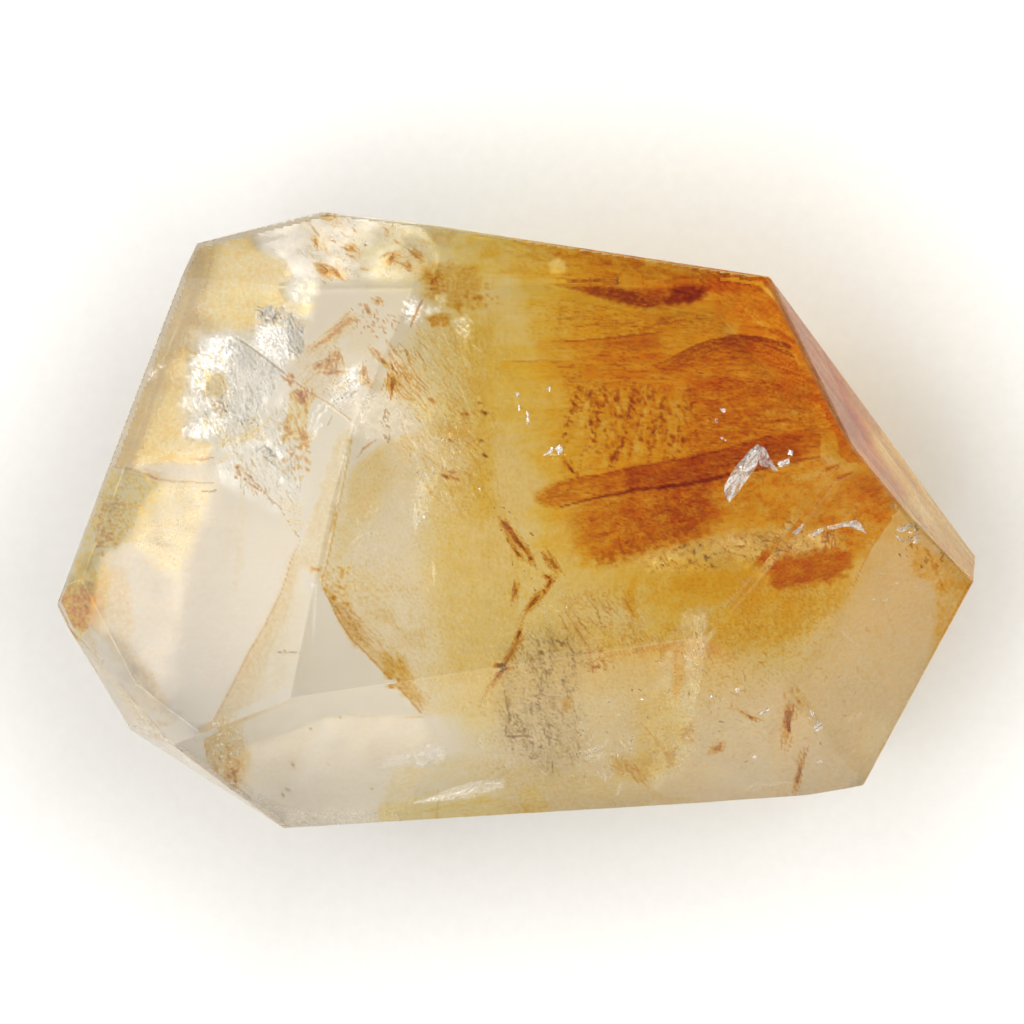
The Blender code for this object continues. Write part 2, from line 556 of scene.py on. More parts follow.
def chips(poly, n, size, depth, seed, ang=0.0, spread=180.0, aspect=2.0, dip=0.35):
    """Rows for plates(): seeded random slivers inside a polygon."""
    rng = np.random.default_rng(seed)
    rows = []
    for x, y in scatter(poly, n, rng):
        a = math.radians(ang + rng.uniform(-spread, spread)); L = rng.uniform(*size); W = L / rng.uniform(aspect * 0.7, aspect * 1.4)
        k = 5
        th = np.sort(rng.uniform(0, 2 * math.pi, k) * 0.35 + np.arange(k) * 2 * math.pi / k)
        p = np.stack([np.cos(th) * L / 2, np.sin(th) * W / 2], -1) * rng.uniform(0.7, 1.2, (k, 1))
        R = np.array([[math.cos(a), -math.sin(a)], [math.sin(a), math.cos(a)]])
        rows.append(((p @ R.T + [x, y]).tolist(), rng.uniform(*depth), rng.uniform(-dip, dip), rng.uniform(-dip, dip)))
    return rows


# -------------------------------------------------------------- materials ----
def new_mat(name):
    m = bpy.data.materials.new(name); m.use_nodes = True
    nt = m.node_tree
    for n in list(nt.nodes):
        nt.nodes.remove(n)
    return m, nt, nt.nodes.new("ShaderNodeOutputMaterial")


def noise_node(nt, scale, detail=4.0, rough=0.6, stretch=(1, 1, 1), turn=0.0):
    N, L = nt.nodes.new, nt.links.new
    tc = N("ShaderNodeTexCoord"); mp = N("ShaderNodeMapping")
    mp.inputs["Scale"].default_value = stretch
    mp.inputs["Rotation"].default_value = (0, 0, turn)
    L(tc.outputs["Object"], mp.inputs["Vector"])
    nz = N("ShaderNodeTexNoise"); nz.inputs["Scale"].default_value = scale
    nz.inputs["Detail"].default_value = detail; nz.inputs["Roughness"].default_value = rough
    L(mp.outputs[0], nz.inputs["Vector"])
    return nz


def remap(nt, src, a, b, lo, hi):
    mr = nt.nodes.new("ShaderNodeMapRange")
    for k, val in zip(("From Min", "From Max", "To Min", "To Max"), (a, b, lo, hi)):
        mr.inputs[k].default_value = val
    nt.links.new(src, mr.inputs["Value"])
    return mr.outputs[0]


def stain_mat(name, scale=1400.0, contrast=0.30, stretch=(1, 1, 1), turn=0.0, gleam_rough=0.22, bump=0.4, haze_col=(0.93, 0.86, 0.74),
              gk=(0.35, 1.6), bump_scale=1500.0):
    """Film: passes tinted light, scatters a share softly and mirrors a share."""
    m, nt, out = new_mat(name)
    N, L = nt.nodes.new, nt.links.new
    at = N("ShaderNodeAttribute"); at.attribute_name = "stain"
    gl = N("ShaderNodeAttribute"); gl.attribute_name = "gleam"
    nz = noise_node(nt, scale, 5.0, 0.62, stretch, turn)
    amp = remap(nt, nz.outputs["Fac"], 0.3, 0.7, 1 - contrast, 1 + contrast)
    ga = N("ShaderNodeGamma"); L(at.outputs["Color"], ga.inputs["Color"]); L(amp, ga.inputs["Gamma"])
    tr = N("ShaderNodeBsdfTransparent"); L(ga.outputs[0], tr.inputs["Color"])
    mx = N("ShaderNodeMix"); mx.data_type = "RGBA"; mx.inputs["Factor"].default_value = 0.55
    L(ga.outputs[0], mx.inputs["A"]); mx.inputs["B"].default_value = (*haze_col, 1)
    di = N("ShaderNodeBsdfDiffuse"); L(mx.outputs["Result"], di.inputs["Color"])
    tl = N("ShaderNodeBsdfTranslucent"); L(mx.outputs["Result"], tl.inputs["Color"])
    dm = N("ShaderNodeMixShader"); dm.inputs[0].default_value = 0.5
    L(di.outputs[0], dm.inputs[1]); L(tl.outputs[0], dm.inputs[2])
    mu = N("ShaderNodeMath"); mu.operation = "MULTIPLY"; mu.use_clamp = True
    L(at.outputs["Alpha"], mu.inputs[0]); L(amp, mu.inputs[1])
    ms = N("ShaderNodeMixShader")
    L(mu.outputs[0], ms.inputs[0]); L(tr.outputs[0], ms.inputs[1]); L(dm.outputs[0], ms.inputs[2])
    gs = N("ShaderNodeBsdfAnisotropic"); L(ga.outputs[0], gs.inputs["Color"])
    gs.inputs["Roughness"].default_value = gleam_rough
    if bump:
        bp = N("ShaderNodeBump"); bp.inputs["Strength"].default_value = bump; bp.inputs["Distance"].default_value = 0.0002
        nb = noise_node(nt, bump_scale, 2.0, 0.6, stretch, turn)
        L(nb.outputs["Fac"], bp.inputs["Height"]); L(bp.outputs[0], gs.inputs["Normal"])
    k2 = remap(nt, nz.outputs["Fac"], 0.32, 0.68, *gk)
    m2 = N("ShaderNodeMath"); m2.operation = "MULTIPLY"; m2.use_clamp = True
    L(gl.outputs["Fac"], m2.inputs[0]); L(k2, m2.inputs[1])
    m3 = N("ShaderNodeMixShader"); L(m2.outputs[0], m3.inputs[0]); L(ms.outputs[0], m3.inputs[1]); L(gs.outputs[0], m3.inputs[2])
    L(m3.outputs[0], out.inputs["Surface"])
    return m


def plate_mat(name, lo, hi, alpha=(0.7, 1.0), gloss=0.0, rough=0.2, scale=2500.0, through=(1, 1, 1)):
    """Flake: two-tone body with grain, an uneven see-through share and some mirror."""
    m, nt, out = new_mat(name)
    N, L = nt.nodes.new, nt.links.new
    at = N("ShaderNodeAttribute"); at.attribute_name = "tone"
    nz = noise_node(nt, scale, 4.0, 0.65)
    ad = N("ShaderNodeMath"); ad.operation = "ADD"; ad.use_clamp = True
    L(at.outputs["Fac"], ad.inputs[0]); L(remap(nt, nz.outputs["Fac"], 0.35, 0.65, -0.4, 0.4), ad.inputs[1])
    mx = N("ShaderNodeMix"); mx.data_type = "RGBA"
    L(ad.outputs[0], mx.inputs["Factor"]); mx.inputs["A"].default_value = (*lo, 1); mx.inputs["B"].default_value = (*hi, 1)
    di = N("ShaderNodeBsdfDiffuse"); L(mx.outputs["Result"], di.inputs["Color"])
    tl = N("ShaderNodeBsdfTranslucent"); L(mx.outputs["Result"], tl.inputs["Color"])
    dm = N("ShaderNodeMixShader"); dm.inputs[0].default_value = 0.4
    L(di.outputs[0], dm.inputs[1]); L(tl.outputs[0], dm.inputs[2])
    body = dm.outputs[0]
    if gloss:
        gs = N("ShaderNodeBsdfAnisotropic"); L(mx.outputs["Result"], gs.inputs["Color"])
        gs.inputs["Roughness"].default_value = rough
        bp = N("ShaderNodeBump"); bp.inputs["Strength"].default_value = 0.5; bp.inputs["Distance"].default_value = 0.0003
        nb = noise_node(nt, 900.0, 4.0, 0.6); L(nb.outputs["Fac"], bp.inputs["Height"]); L(bp.outputs[0], gs.inputs["Normal"])
        g = N("ShaderNodeMixShader"); g.inputs[0].default_value = gloss
        L(body, g.inputs[1]); L(gs.outputs[0], g.inputs[2]); body = g.outputs[0]
    tr = N("ShaderNodeBsdfTransparent"); tr.inputs["Color"].default_value = (*through, 1)
    n2 = noise_node(nt, scale * 1.3, 4.0, 0.7)
    ms = N("ShaderNodeMixShader")
    L(remap(nt, n2.outputs["Fac"], 0.38, 0.52, alpha[0], alpha[1]), ms.inputs[0]); L(tr.outputs[0], ms.inputs[1]); L(body, ms.inputs[2])
    L(ms.outputs[0], out.inputs["Surface"])
    return m


# ------------------------------------------------------------------ shell ----
def shell_mesh(inset=0.035):
    bm = bmesh.new()
    bmesh.ops.create_cube(bm, size=0.12)
    bmesh.ops.translate(bm, verts=bm.verts, vec=(0, 0, 0.06))
    for n, d, nm in zip(FN, FD, F_NAME):
        n = Vector(n)
        d = d if nm == "base" else d - inset
        cut = bmesh.ops.bisect_plane(bm, geom=bm.verts[:] + bm.edges[:] + bm.faces[:], dist=1e-7,
                                     plane_co=n * (d * MM), plane_no=n, clear_outer=True)
        rim = [e for e in cut["geom_cut"] if isinstance(e, bmesh.types.BMEdge) and e.is_valid and e.is_boundary]
        if rim:
            bmesh.ops.edgeloop_fill(bm, edges=rim)
    bmesh.ops.remove_doubles(bm, verts=bm.verts, dist=0.0001)
    bmesh.ops.dissolve_degenerate(bm, edges=bm.edges, dist=0.0001)
    bmesh.ops.recalc_face_normals(bm, faces=bm.faces)
    # worn polish on every arris but the foot, which stands crisp on the paper
    arris = [e for e in bm.edges if len(e.link_faces) == 2 and not any(f.normal.z < -0.99 for f in e.link_faces)
             and e.calc_face_angle(0) > math.radians(1.2)]
    bmesh.ops.bevel(bm, geom=arris, offset=0.00012, offset_type="OFFSET", segments=2, profile=0.6, affect="EDGES", clamp_overlap=True)
    # the CAD's wider chamfers cut its two end tips shorter, so the tips are held to its box
    for v in bm.verts:
        v.co = [min(max(c, lo), hi) for c, lo, hi in zip(v.co, *cad_box)]
    me = bpy.data.meshes.new("quartz_shell")
    bm.to_mesh(me); bm.free()
    return me


def shell_mat():
    """Polished quartz: clear to the eye, with faint hairline scratches in the gloss."""
    m, nt, out = new_mat("quartz_clear")
    N, L = nt.nodes.new, nt.links.new
    p = N("ShaderNodeBsdfPrincipled")
    p.inputs["Base Color"].default_value = (1, 1, 1, 1)
    p.inputs["IOR"].default_value = IOR
    p.inputs["Transmission Weight"].default_value = 1.0
    nz = noise_node(nt, 260.0, 1.0, 0.6, (1, 14, 3), 0.6)
    L(remap(nt, nz.outputs["Fac"], 0.64, 0.78, 0.0, 0.06), p.inputs["Roughness"])
    va = N("ShaderNodeVolumeAbsorption")
    va.inputs["Color"].default_value = (0.80, 0.68, 0.50, 1)
    va.inputs["Density"].default_value = 3.5
    L(p.outputs[0], out.inputs["Surface"]); L(va.outputs[0], out.inputs["Volume"])
    return m


shell = link(bpy.data.objects.new("quartz_shell", shell_mesh()))
shell.data.materials.append(shell_mat())
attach(shell, "root"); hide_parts("quartz_freeform")

# ------------------------------------------------------------ honey veil ----
def paint_veil(c, P):
    """Broad honey haze through the whole stone, with the cream and clear windows in it."""
    u, v = c.u, c.v
    c.area([(436, 232), (560, 236), (775, 270), (850, 400), (1000, 575), (880, 800), (700, 812), (500, 824), (452, 770), (436, 690),
            (424, 620), (425, 540), (440, 460), (446, 400), (430, 300)], 22, 18, 50, tex=T_mul(T_ramp(420, 540, 30, 30, 401), T_fbm(50, 38, 1, 0.6, 1)), tan=0.18, peach=0.12)
    c.area([(430, 300), (505, 320), (530, 480), (560, 560), (560, 640), (530, 700), (480, 730), (450, 690), (436, 620), (432, 540),
            (445, 460), (440, 380)], 24, 16, 34, tex=T_fbm(30, 40, 1, 0.55, 2), gold=0.16, tan=0.10)
    c.area([(520, 560), (640, 560), (850, 590), (800, 660), (700, 690), (560, 670)], 34, 20, 40, tex=T_fbm(36, 26, 1, 0.8, 3), gold=0.20)
    c.area([(436, 300), (560, 330), (600, 560), (640, 700), (560, 800), (460, 760), (430, 600)], 24, 16, 30, tex=T_thread(26, 8, 0.16, 402, 62), tan=0.14)
    # upper left: gold-tan glow with bright cream beside it
    ul = [(190, 236), (248, 226), (252, 243), (266, 254), (284, 262), (292, 275), (282, 288), (286, 303), (314, 306), (300, 330), (262, 322),
          (248, 333), (225, 331), (205, 333), (190, 346), (190, 375), (182, 400), (188, 420), (182, 436), (215, 442), (205, 462),
          (100, 468), (130, 395), (155, 330)]
    c.area(ul, 4, 7, 16, tex=T_fbm(44, 26, 1, 0.5, 4), gold=0.13, peach=0.66, mauve=0.10)
    c.area(ul, 4, 7, 16, tex=T_fbm(60, 36, 1, 0.25, 490), sheen=0.39)
    c.area(ul, 5, 6, 16, tex=T_mul(T_str(14, 60, 7, 0.6, 1.4, 403), T_fbm(30, 30, 1, 0.8, 404)), gold=0.14, peach=0.16)
    c.area(ul, 5, 6, 16, tex=T_mul(T_vein(12, 0.10, 491), T_fbm(34, 34, 0.7, 1.4, 492)), tan=0.13)
    c.area([(205, 285), (290, 288), (290, 318), (250, 330), (205, 330)], 9, 7, 16, tex=T_str(12, 40, 6, 1, 0.8, 5), gold=0.20)
    c.area([(146, 345), (192, 345), (192, 400), (182, 456), (108, 464), (130, 395)], 10, 8, 18, tex=T_fbm(24, 20, 1, 0.8, 6), gold=0.22, peach=0.20)
    c.area([(165, 300), (200, 300), (215, 318), (205, 330), (160, 338)], 5, 5, 16, tan=0.12, peach=0.20)
    c.area([(196, 240), (250, 228), (262, 256), (200, 262)], 6, 5, 16, tex=T_fbm(30, 20, 1, 0.5, 405), gold=0.10, tan=0.06)
    c.line([(180, 295), (193, 303), (206, 313)], 0.8, 0.7, 0.6, brown=0.14)
    c.area([(190, 236), (212, 240), (200, 300), (172, 372), (140, 450), (112, 470), (92, 500), (130, 395), (160, 312)], 7, 4, 18, tex=T_fbm(30, 30, 1, 0.4, 655), haze=0.24, peach=0.42, gold=0.06)
    c.area([(78, 636), (92, 632), (130, 668), (176, 726), (206, 728), (182, 742), (140, 724)], 6, 4, 18, tex=T_fbm(26, 26, 1, 0.4, 656), haze=0.22)
    c.area([(206, 762), (222, 766), (262, 800), (300, 812), (400, 812), (400, 830), (286, 832), (240, 800)], 5, 4, 18, tex=T_fbm(30, 20, 1, 0.4, 657), haze=0.24)
    c.area([(252, 226), (300, 210), (325, 206), (416, 218), (440, 250), (432, 275), (412, 288), (318, 288), (292, 276), (284, 262), (262, 248)],
           7, 6, 18, tex=T_mul(lambda a, b: 1 - 0.75 * sstep(272, 284, b) * sstep(305, 325, a), T_fbm(20, 13, 1, 0.8, 7)), sheen=0.60, haze=0.05, peach=0.20)
    c.area([(300, 222), (330, 216), (436, 230), (434, 282), (318, 284)], 6, 6, 12, tex=T_mul(T_thread(14, 5, 0.14, 604, -52), T_fbm(18, 18, 0.8, 1.2, 605)), tan=0.5)
    c.area([(360, 236), (436, 232), (440, 290), (370, 284)], 14, 10, 18, tex=T_fbm(18, 14, 1, 0.7, 406), gold=0.16, sheen=0.08)
    c.area([(283, 270), (308, 272), (306, 304), (286, 306)], 9, 12, 9, tex=T_mul(T_str(70, 12, 3.2, 0.8, 1.0, 612), T_fbm(9, 9, 0.9, 1.1, 493)), sheen=0.40, haze=0.10, wipe=0.5)
    c.area([(299, 284), (318, 284), (312, 318), (296, 318)], 6, 5, 12, gold=0.12, sheen=0.30)
    # the grey window and the facets round it
    c.area([(318, 288), (404, 288), (413, 298), (404, 330), (395, 346), (352, 422), (290, 378)], 1.6, 0.8, 20,
           tex=T_fbm(50, 50, 1, 0.2, 8), mauve=0.04, peach=0.03)
    c.area([(352, 352), (400, 346), (440, 400), (440, 460), (380, 445), (352, 422)], 14, 9, 16, tex=T_fbm(18, 16, 1, 0.7, 407), sheen=0.34, peach=0.24)
    c.area([(222, 336), (282, 372), (292, 395), (286, 440), (300, 500), (280, 510), (215, 480), (220, 440), (222, 400)], 8, 8, 14,
           tex=T_fbm(16, 18, 1, 0.9, 9), sheen=0.30)
    # left tip and lower left
    c.area([(104, 461), (208, 452), (215, 484), (208, 520), (192, 560), (182, 620), (168, 700), (120, 640), (80, 632), (52, 607)], 14, 10, 26, tex=T_fbm(44, 44, 1, 0.3, 408), peach=0.44, mauve=0.07, sheen=0.32)
    c.area([(145, 480), (213, 486), (203, 515), (190, 550), (176, 575), (150, 562), (132, 540), (140, 515)], 8, 7, 18,
           tex=T_fbm(26, 26, 1, 0.4, 10), gold=0.12, peach=0.34, sheen=0.26)
    c.area([(84, 560), (126, 566), (133, 620), (132, 650), (164, 694), (170, 736), (136, 720), (78, 634)], 4, 4, 20, tex=T_fbm(30, 36, 1, 0.4, 409), tan=0.20, peach=0.36, mauve=0.05, sheen=0.06)
    c.area([(120, 640), (133, 650), (165, 690), (176, 740), (150, 722)], 8, 5, 16, mauve=0.08, peach=0.22)
    c.area([(200, 490), (300, 540), (290, 600), (230, 690), (180, 690), (170, 620), (190, 560)], 14, 8, 24, tex=T_fbm(40, 50, 1, 0.6, 410), peach=0.12, sheen=0.08, mauve=0.05)
    c.line([(243, 495), (240, 540), (236, 590)], [3, 5, 2], 0.9, 4, 14, tan=0.14)
    c.line([(232, 500), (228, 540), (226, 580)], [1, 1.6, 1], 0.8, 2, 14, tan=0.12)
    c.line([(285, 640), (280, 690)], [4, 6], 0.8, 3, 20, tan=0.06)
    c.area([(112, 468), (135, 472), (158, 484), (146, 500), (134, 518), (128, 532), (118, 546), (100, 556), (97, 575), (96, 590), (90, 606), (82, 634), (52, 608), (78, 545)], 3, 7, 8, wipe=0.92)
    # lower edge: clear cream wedge under a level line, tan stain to the right of it
    c.area([(335, 717), (420, 717), (436, 740), (400, 826), (286, 832), (215, 770), (253, 745), (310, 725)], 5, 4, 18,
           tex=T_fbm(40, 24, 1, 0.3, 11), peach=0.28, sheen=0.26)
    c.area([(322, 718), (424, 718), (440, 742), (380, 765), (340, 740)], 8, 6, 14, tex=T_fbm(24, 14, 1, 0.6, 12), sheen=0.14, peach=0.16)
    c.line([(333, 717), (352, 715), (380, 717), (422, 717)], 0.7, 0.6, 0.6, orange=0.10, brown=0.08)
    c.area([(240, 742), (320, 720), (300, 770), (250, 790)], 10, 6, 16, peach=0.10, tan=0.04)
    c.area([(392, 766), (450, 756), (560, 770), (700, 800), (560, 822), (372, 830), (382, 800)], 5, 10, 11, tex=T_fbm(20, 12, 1, 0.7, 13), tan=0.24, gold=0.06)
    c.area([(382, 806), (410, 800), (470, 790), (552, 812), (376, 828)], 5, 6, 10, tex=T_fbm(14, 8, 1, 0.7, 411), gold=0.24, tan=0.06)
    c.area([(520, 788), (536, 786), (556, 816), (522, 820)], 3, 3, 9, gold=0.30)
    # right side: thick beige, orange at the right corner
    c.area([(560, 640), (700, 640), (720, 700), (690, 800), (520, 812), (470, 760), (490, 700)], 26, 14, 30, tex=T_fbm(34, 28, 1, 0.5, 14), tan=0.08, peach=0.14)
    c.area([(906, 498), (990, 575), (880, 800), (770, 800), (770, 700), (816, 640), (848, 596)], 3, 2, 30, tex=T_fbm(30, 30, 1, 0.4, 15), tan=0.02, peach=0.34, sheen=0.14)
    c.area([(640, 690), (780, 680), (790, 800), (640, 806)], 20, 10, 24, tex=T_fbm(20, 18, 1, 0.8, 412), peach=0.20, sheen=0.16)
    c.area([(935, 588), (960, 580), (980, 580), (960, 640), (932, 664), (936, 620)], 5, 5, 12, tex=T_str(70, 18, 4, 1, 0.8, 16), orange=0.26, tan=0.15)
    c.area([(905, 520), (978, 566), (976, 590), (940, 592), (912, 572)], 5, 7, 12, tex=T_fbm(10, 8, 1, 1.1, 17), orange=0.30, tan=0.20)
    c.line([(906, 520), (926, 548), (944, 590)], [0.8, 1.4, 1.0], 0.7, 0.9, 10, orange=0.4, brown=0.2)
    c.line([(974, 585), (955, 625), (935, 665), (905, 715), (880, 752)], [3, 2.5, 2, 1.2, 0.8], 0.8, 0.8, 14, brown=0.22)
    # small marks of the lower right
    c.area([(792, 683), (800, 690), (814, 708), (824, 727), (816, 722), (802, 704)], 2.2, 2, 8, tan=0.22)
    c.line([(792, 683), (808, 705), (822, 727)], [1.4, 2.0, 1.2], 0.8, 1.0, 9, tan=0.34)
    c.line([(790, 683), (785, 694), (783, 705)], [0.5, 0.9, 0.5], 0.7, 0.8, 6, brown=0.35)
    for k, (x, y) in enumerate(((882, 604), (888, 616), (894, 628), (900, 606), (890, 644), (878, 632))):
        c.line([(x - 3, y - 8), (x, y), (x + 2, y + 9)], [0.5, 1.2, 0.5], 0.8, 1.5, 6, tan=0.30)
    c.area([(862, 668), (884, 666), (888, 690), (866, 692)], 5, 5, 8, tex=T_spot(6, 5, -0.1, 0.4, 413), tan=0.26)


veil_mat = stain_mat("stain_veil", 2800.0, 0.60, gleam_rough=0.30, bump=0, gk=(0.90, 1.12))
sheet("honey_veil", (50, 200, 985, 835), lambda a, b: dome(a, b, 0.6) - 2.4 + 0.5 * fbm(a / 120, b / 120, 71, 3), paint_veil, 2.25, veil_mat, density=0.8)


# ------------------------------------------------------------ gold films ----
def paint_upper(c, P):
    """Upper gold film: yellow silk, edge B, arch B2, edge C, speckled columns."""
    right_of = T_ramp(478, 560, 26, 26, 310)
    field = [(470, 258), (560, 276), (640, 300), (700, 296), (772, 268), (812, 328), (850, 400), (880, 462), (800, 444), (700, 466),
             (600, 480), (550, 480), (510, 450), (478, 430), (474, 340)]
    c.area(field, 10, 8, 26, tex=T_mul(right_of, T_silk(70, 4.4, 0.9, 1.4, 311)), gold=0.62)
    c.area(field, 8, 8, 26, tex=T_mul(T_ramp(520, 640, 30, 30, 312), T_fbm(15, 8, 0.9, 1.3, 313)), gold=0.36, orange=0.05)
    c.area(field, 8, 8, 26, tex=T_mul(T_ramp(500, 620, 24, 22, 314), T_thread(30, 5.0, 0.16, 315)), orange=0.22, brown=0.14)
    # the sharp start of the gold at the left, only where the photograph has it
    c.area([(486, 346), (560, 342), (560, 424), (490, 420)], 5, 4, 16, tex=T_mul(lambda u, v: 1 - sstep(495, 560, u), T_fbm(16, 10, 1, 0.6, 316)), gold=0.36, tan=0.06)
    # scribbled ground between streak A and edge B
    c.area([(528, 300), (565, 292), (640, 315), (640, 326), (570, 333), (520, 338)], 8, 6, 16, wipe=0.30)
    for j, pts in enumerate([[(548, 308), (590, 312), (640, 330)], [(552, 316), (600, 320), (650, 326)], [(575, 326), (596, 325), (613, 327)],
                             [(600, 334), (640, 330), (668, 322)], [(640, 330), (665, 329), (690, 327)], [(560, 300), (600, 306), (634, 314)]]):
        c.line(pts, [0.4, 0.8, 0.5], 0.7, 1.6, 10, brown=0.55 if j == 2 else 0.20, orange=0.22)
    c.area([(530, 300), (645, 316), (730, 318), (700, 332), (530, 340)], 8, 5, 14, tex=T_thread(16, 6, 0.13, 317, 10), brown=0.26, orange=0.14)
    # amber curls beside the right edge
    am = [(712, 286), (768, 274), (812, 338), (800, 344), (770, 336), (735, 326), (716, 316)]
    c.area(am, 7, 5, 16, tex=T_str(38, 30, 3.5, 0.9, 0.9, 14), orange=0.30, brown=0.06)
    c.area(am, 6, 5, 16, tex=T_thread(20, 5, 0.15, 318, 38), brown=0.34, orange=0.1)
    c.area([(733, 302), (748, 298), (772, 301), (776, 318), (758, 323), (736, 320)], 4, 4, 9, tex=T_vein(7, 0.30, 16), brown=0.34, orange=0.12)
    c.area([(722, 336), (726, 323), (735, 321), (740, 324), (736, 335)], 2, 1, 8, wipe=0.55, sheen=0.10)
    c.area([(653, 325), (661, 316), (672, 325)], 1.6, 1.4, 5, brown=0.62)
    c.area([(524, 286), (556, 286), (640, 312), (700, 312), (690, 328), (600, 334), (528, 336)], 8, 7, 14, tex=T_silk(46, 5, 0.8, 1.3, 571), gold=0.42)
    c.area([(560, 300), (640, 316), (730, 314), (728, 330), (640, 330), (560, 322)], 6, 6, 10, tex=T_mul(T_thread(22, 4.2, 0.12, 572, 8), T_fbm(18, 12, 0.8, 1.4, 573)), brown=0.9)
    # edge B
    B = [(531, 341), (552, 340), (575, 341), (600, 339), (620, 337), (645, 334), (662, 332)]
    c.shade(B, [10, 16, 18, 14, 11], 1, 1.4, 18, tex=T_silk(50, 3, 1, 0.8, 319), orange=0.52, brown=0.10)
    c.line(B[1:], [0.4, 0.7, 0.9, 0.6], 0.7, 1.0, 9, brown=1.1)
    c.area([(606, 339), (660, 334), (661, 346), (630, 350), (604, 348)], 5, 4, 12, tex=T_silk(26, 2.6, 1, 1.0, 320), mauve=0.24, brown=0.16)
    # arch B2: dark curved lines with a smoky wash hanging under them
    arch = [(662, 363), (676, 355), (692, 347), (712, 340), (738, 335), (762, 337), (786, 344), (803, 355), (814, 372)]
    c.shade(arch, [5, 12, 16, 12, 8], 1, 1.6, 14, tex=T_silk(30, 2.8, 0.9, 1.4, 321), brown=0.85, mauve=0.20)
    for k, (dy, w, q) in enumerate(((0, 0.9, 1.3), (3.4, 0.5, 0.8), (6.0, 0.8, 1.1), (9.6, 0.5, 0.8), (12.4, 0.8, 0.9), (16.5, 0.5, 0.6))):
        c.line([(x + 0.25 * dy, y + dy * (0.55 + 0.45 * abs(x - 738) / 76)) for x, y in arch[(k % 2):len(arch) - (k % 3)]],
               [0.3, w, w * 1.2, w, 0.3], 0.7, 2.0, 11, brown=q)
    c.area([(735, 326), (762, 327), (790, 338), (800, 350), (775, 340), (745, 336)], 4, 4, 10, tex=T_str(14, 24, 3, 1, 0.9, 20), orange=0.42, brown=0.16)
    c.line([(738, 326), (765, 328), (782, 334), (794, 342), (806, 356)], [0.5, 1.0, 1.6, 1.8, 1.0], 0.7, 2.2, 8, brown=0.62)
    c.area([(780, 336), (800, 345), (816, 366), (802, 368), (786, 352)], 4, 4, 8, tex=T_spot(5, 4, -0.1, 0.4, 21), brown=0.50, mauve=0.2)
    # edge C and its fading yellow
    c.shade([(496, 362), (520, 361), (545, 361), (574, 362), (600, 363)], [14, 22, 26, 14], 1, 1.8, 14, tex=T_silk(40, 3.4, 1, 0.9, 322), gold=0.55, orange=0.16)
    c.line([(498, 362), (545, 360.5), (575, 362)], [0.3, 0.7, 0.5], 0.7, 0.9, 9, brown=0.45)
    # orange striated body from B and C down to the speckled zone
    body = [(556, 346), (650, 338), (668, 362), (706, 350), (760, 346), (816, 362), (856, 420), (820, 400), (740, 392), (640, 390), (575, 384), (548, 364)]
    c.area(body, 10, 6, 20, tex=T_mul(T_ramp(535, 640, 26, 16, 581), T_silk(80, 3.6, 0.9, 1.3, 323)), orange=0.58)
    c.area(body, 8, 6, 20, tex=T_mul(T_ramp(560, 640, 26, 16, 582), T_fbm(46, 9, 0.4, 1.8, 583)), orange=0.30, brown=0.16)
    c.area(body, 8, 6, 20, tex=T_mul(T_spot(60, 6, -0.15, 0.3, 584), T_fbm(50, 30, 1, 0.6, 585)), wipe=0.42)
    c.area(body, 8, 6, 20, tex=T_mul(T_ramp(535, 620, 26, 16, 586), T_thread(56, 4.2, 0.11, 324)), brown=0.46, orange=0.10)
    c.area(body, 8, 6, 20, tex=T_thread(70, 9.5, 0.05, 325), brown=0.85)
    # speckled, columnar zone
    left = [(566, 384), (694, 384), (694, 456), (640, 464), (600, 474), (572, 472), (584, 440)]
    right = [(690, 380), (800, 384), (846, 404), (872, 446), (800, 432), (770, 434), (740, 444), (690, 456)]
    c.area(right, 9, 6, 18, tex=T_silk(24, 5, 0.9, 1.6, 326), orange=0.44, brown=0.10)
    c.area(left, 10, 6, 18, tex=T_mul(T_ramp(545, 625, 20, 16, 587), T_mul(T_fbm(9, 16, 0.8, 1.2, 26), T_fbm(50, 30, 1, 0.6, 27))), orange=0.06, gold=0.34)
    c.area(left, 9, 6, 16, tex=T_mul(T_spot(8, 17, -0.05, 0.35, 643), T_fbm(30, 20, 1, 0.6, 644)), wipe=0.6)
    tilt = lambda a, b: a + 0.30 * (b - 420) + 4 * fbm(a / 30, b / 30, 327, 2)
    cols = lambda a, b: sstep(-0.15, 0.45, fbm(tilt(a, b) / 8.5, b / 60, 28, 2)) * (0.35 + 1.3 * sstep(-0.3, 0.4, fbm(a / 34, b / 18, 328, 2)))
    c.area(left, 7, 5, 16, tex=T_mul(cols, T_spot(5.6, 4.0, 0.05, 0.30, 29)), brown=1.5)
    c.area(left, 7, 5, 16, tex=T_mul(cols, T_vein(6, 0.18, 329, 4.0)), brown=0.80)
    c.area(right, 7, 5, 16, tex=T_mul(T_spot(5.5, 3.0, -0.05, 0.4, 30), T_fbm(30, 14, 0.9, 1.0, 330)), brown=0.55)
    c.area(right, 7, 5, 16, tex=T_thread(20, 4.4, 0.14, 331), brown=0.60)
    for k, x0 in enumerate((578, 592, 607, 622, 637, 652, 667, 682)):
        colp = [(x0 - 3, 388), (x0 + 4, 386), (x0 - 6, 420), (x0 - 12, 446), (x0 - 19, 448), (x0 - 12, 418)]
        if k % 2:
            c.area(colp, 3, 4, 6, tex=T_mul(T_spot(7, 6, -0.2, 0.35, 530 + k), T_fbm(9, 20, 1, 0.6, 540 + k)), wipe=0.92)
        else:
            c.area(colp, 3, 4, 6, tex=T_spot(5, 4.5, -0.05, 0.3, 550 + k), brown=1.9, orange=0.2)
    c.spots([(586, 390), (690, 390), (688, 452), (592, 462)], 110, (0.8, 2.0), 560, 70, 50, 1.8, brown=1.5)
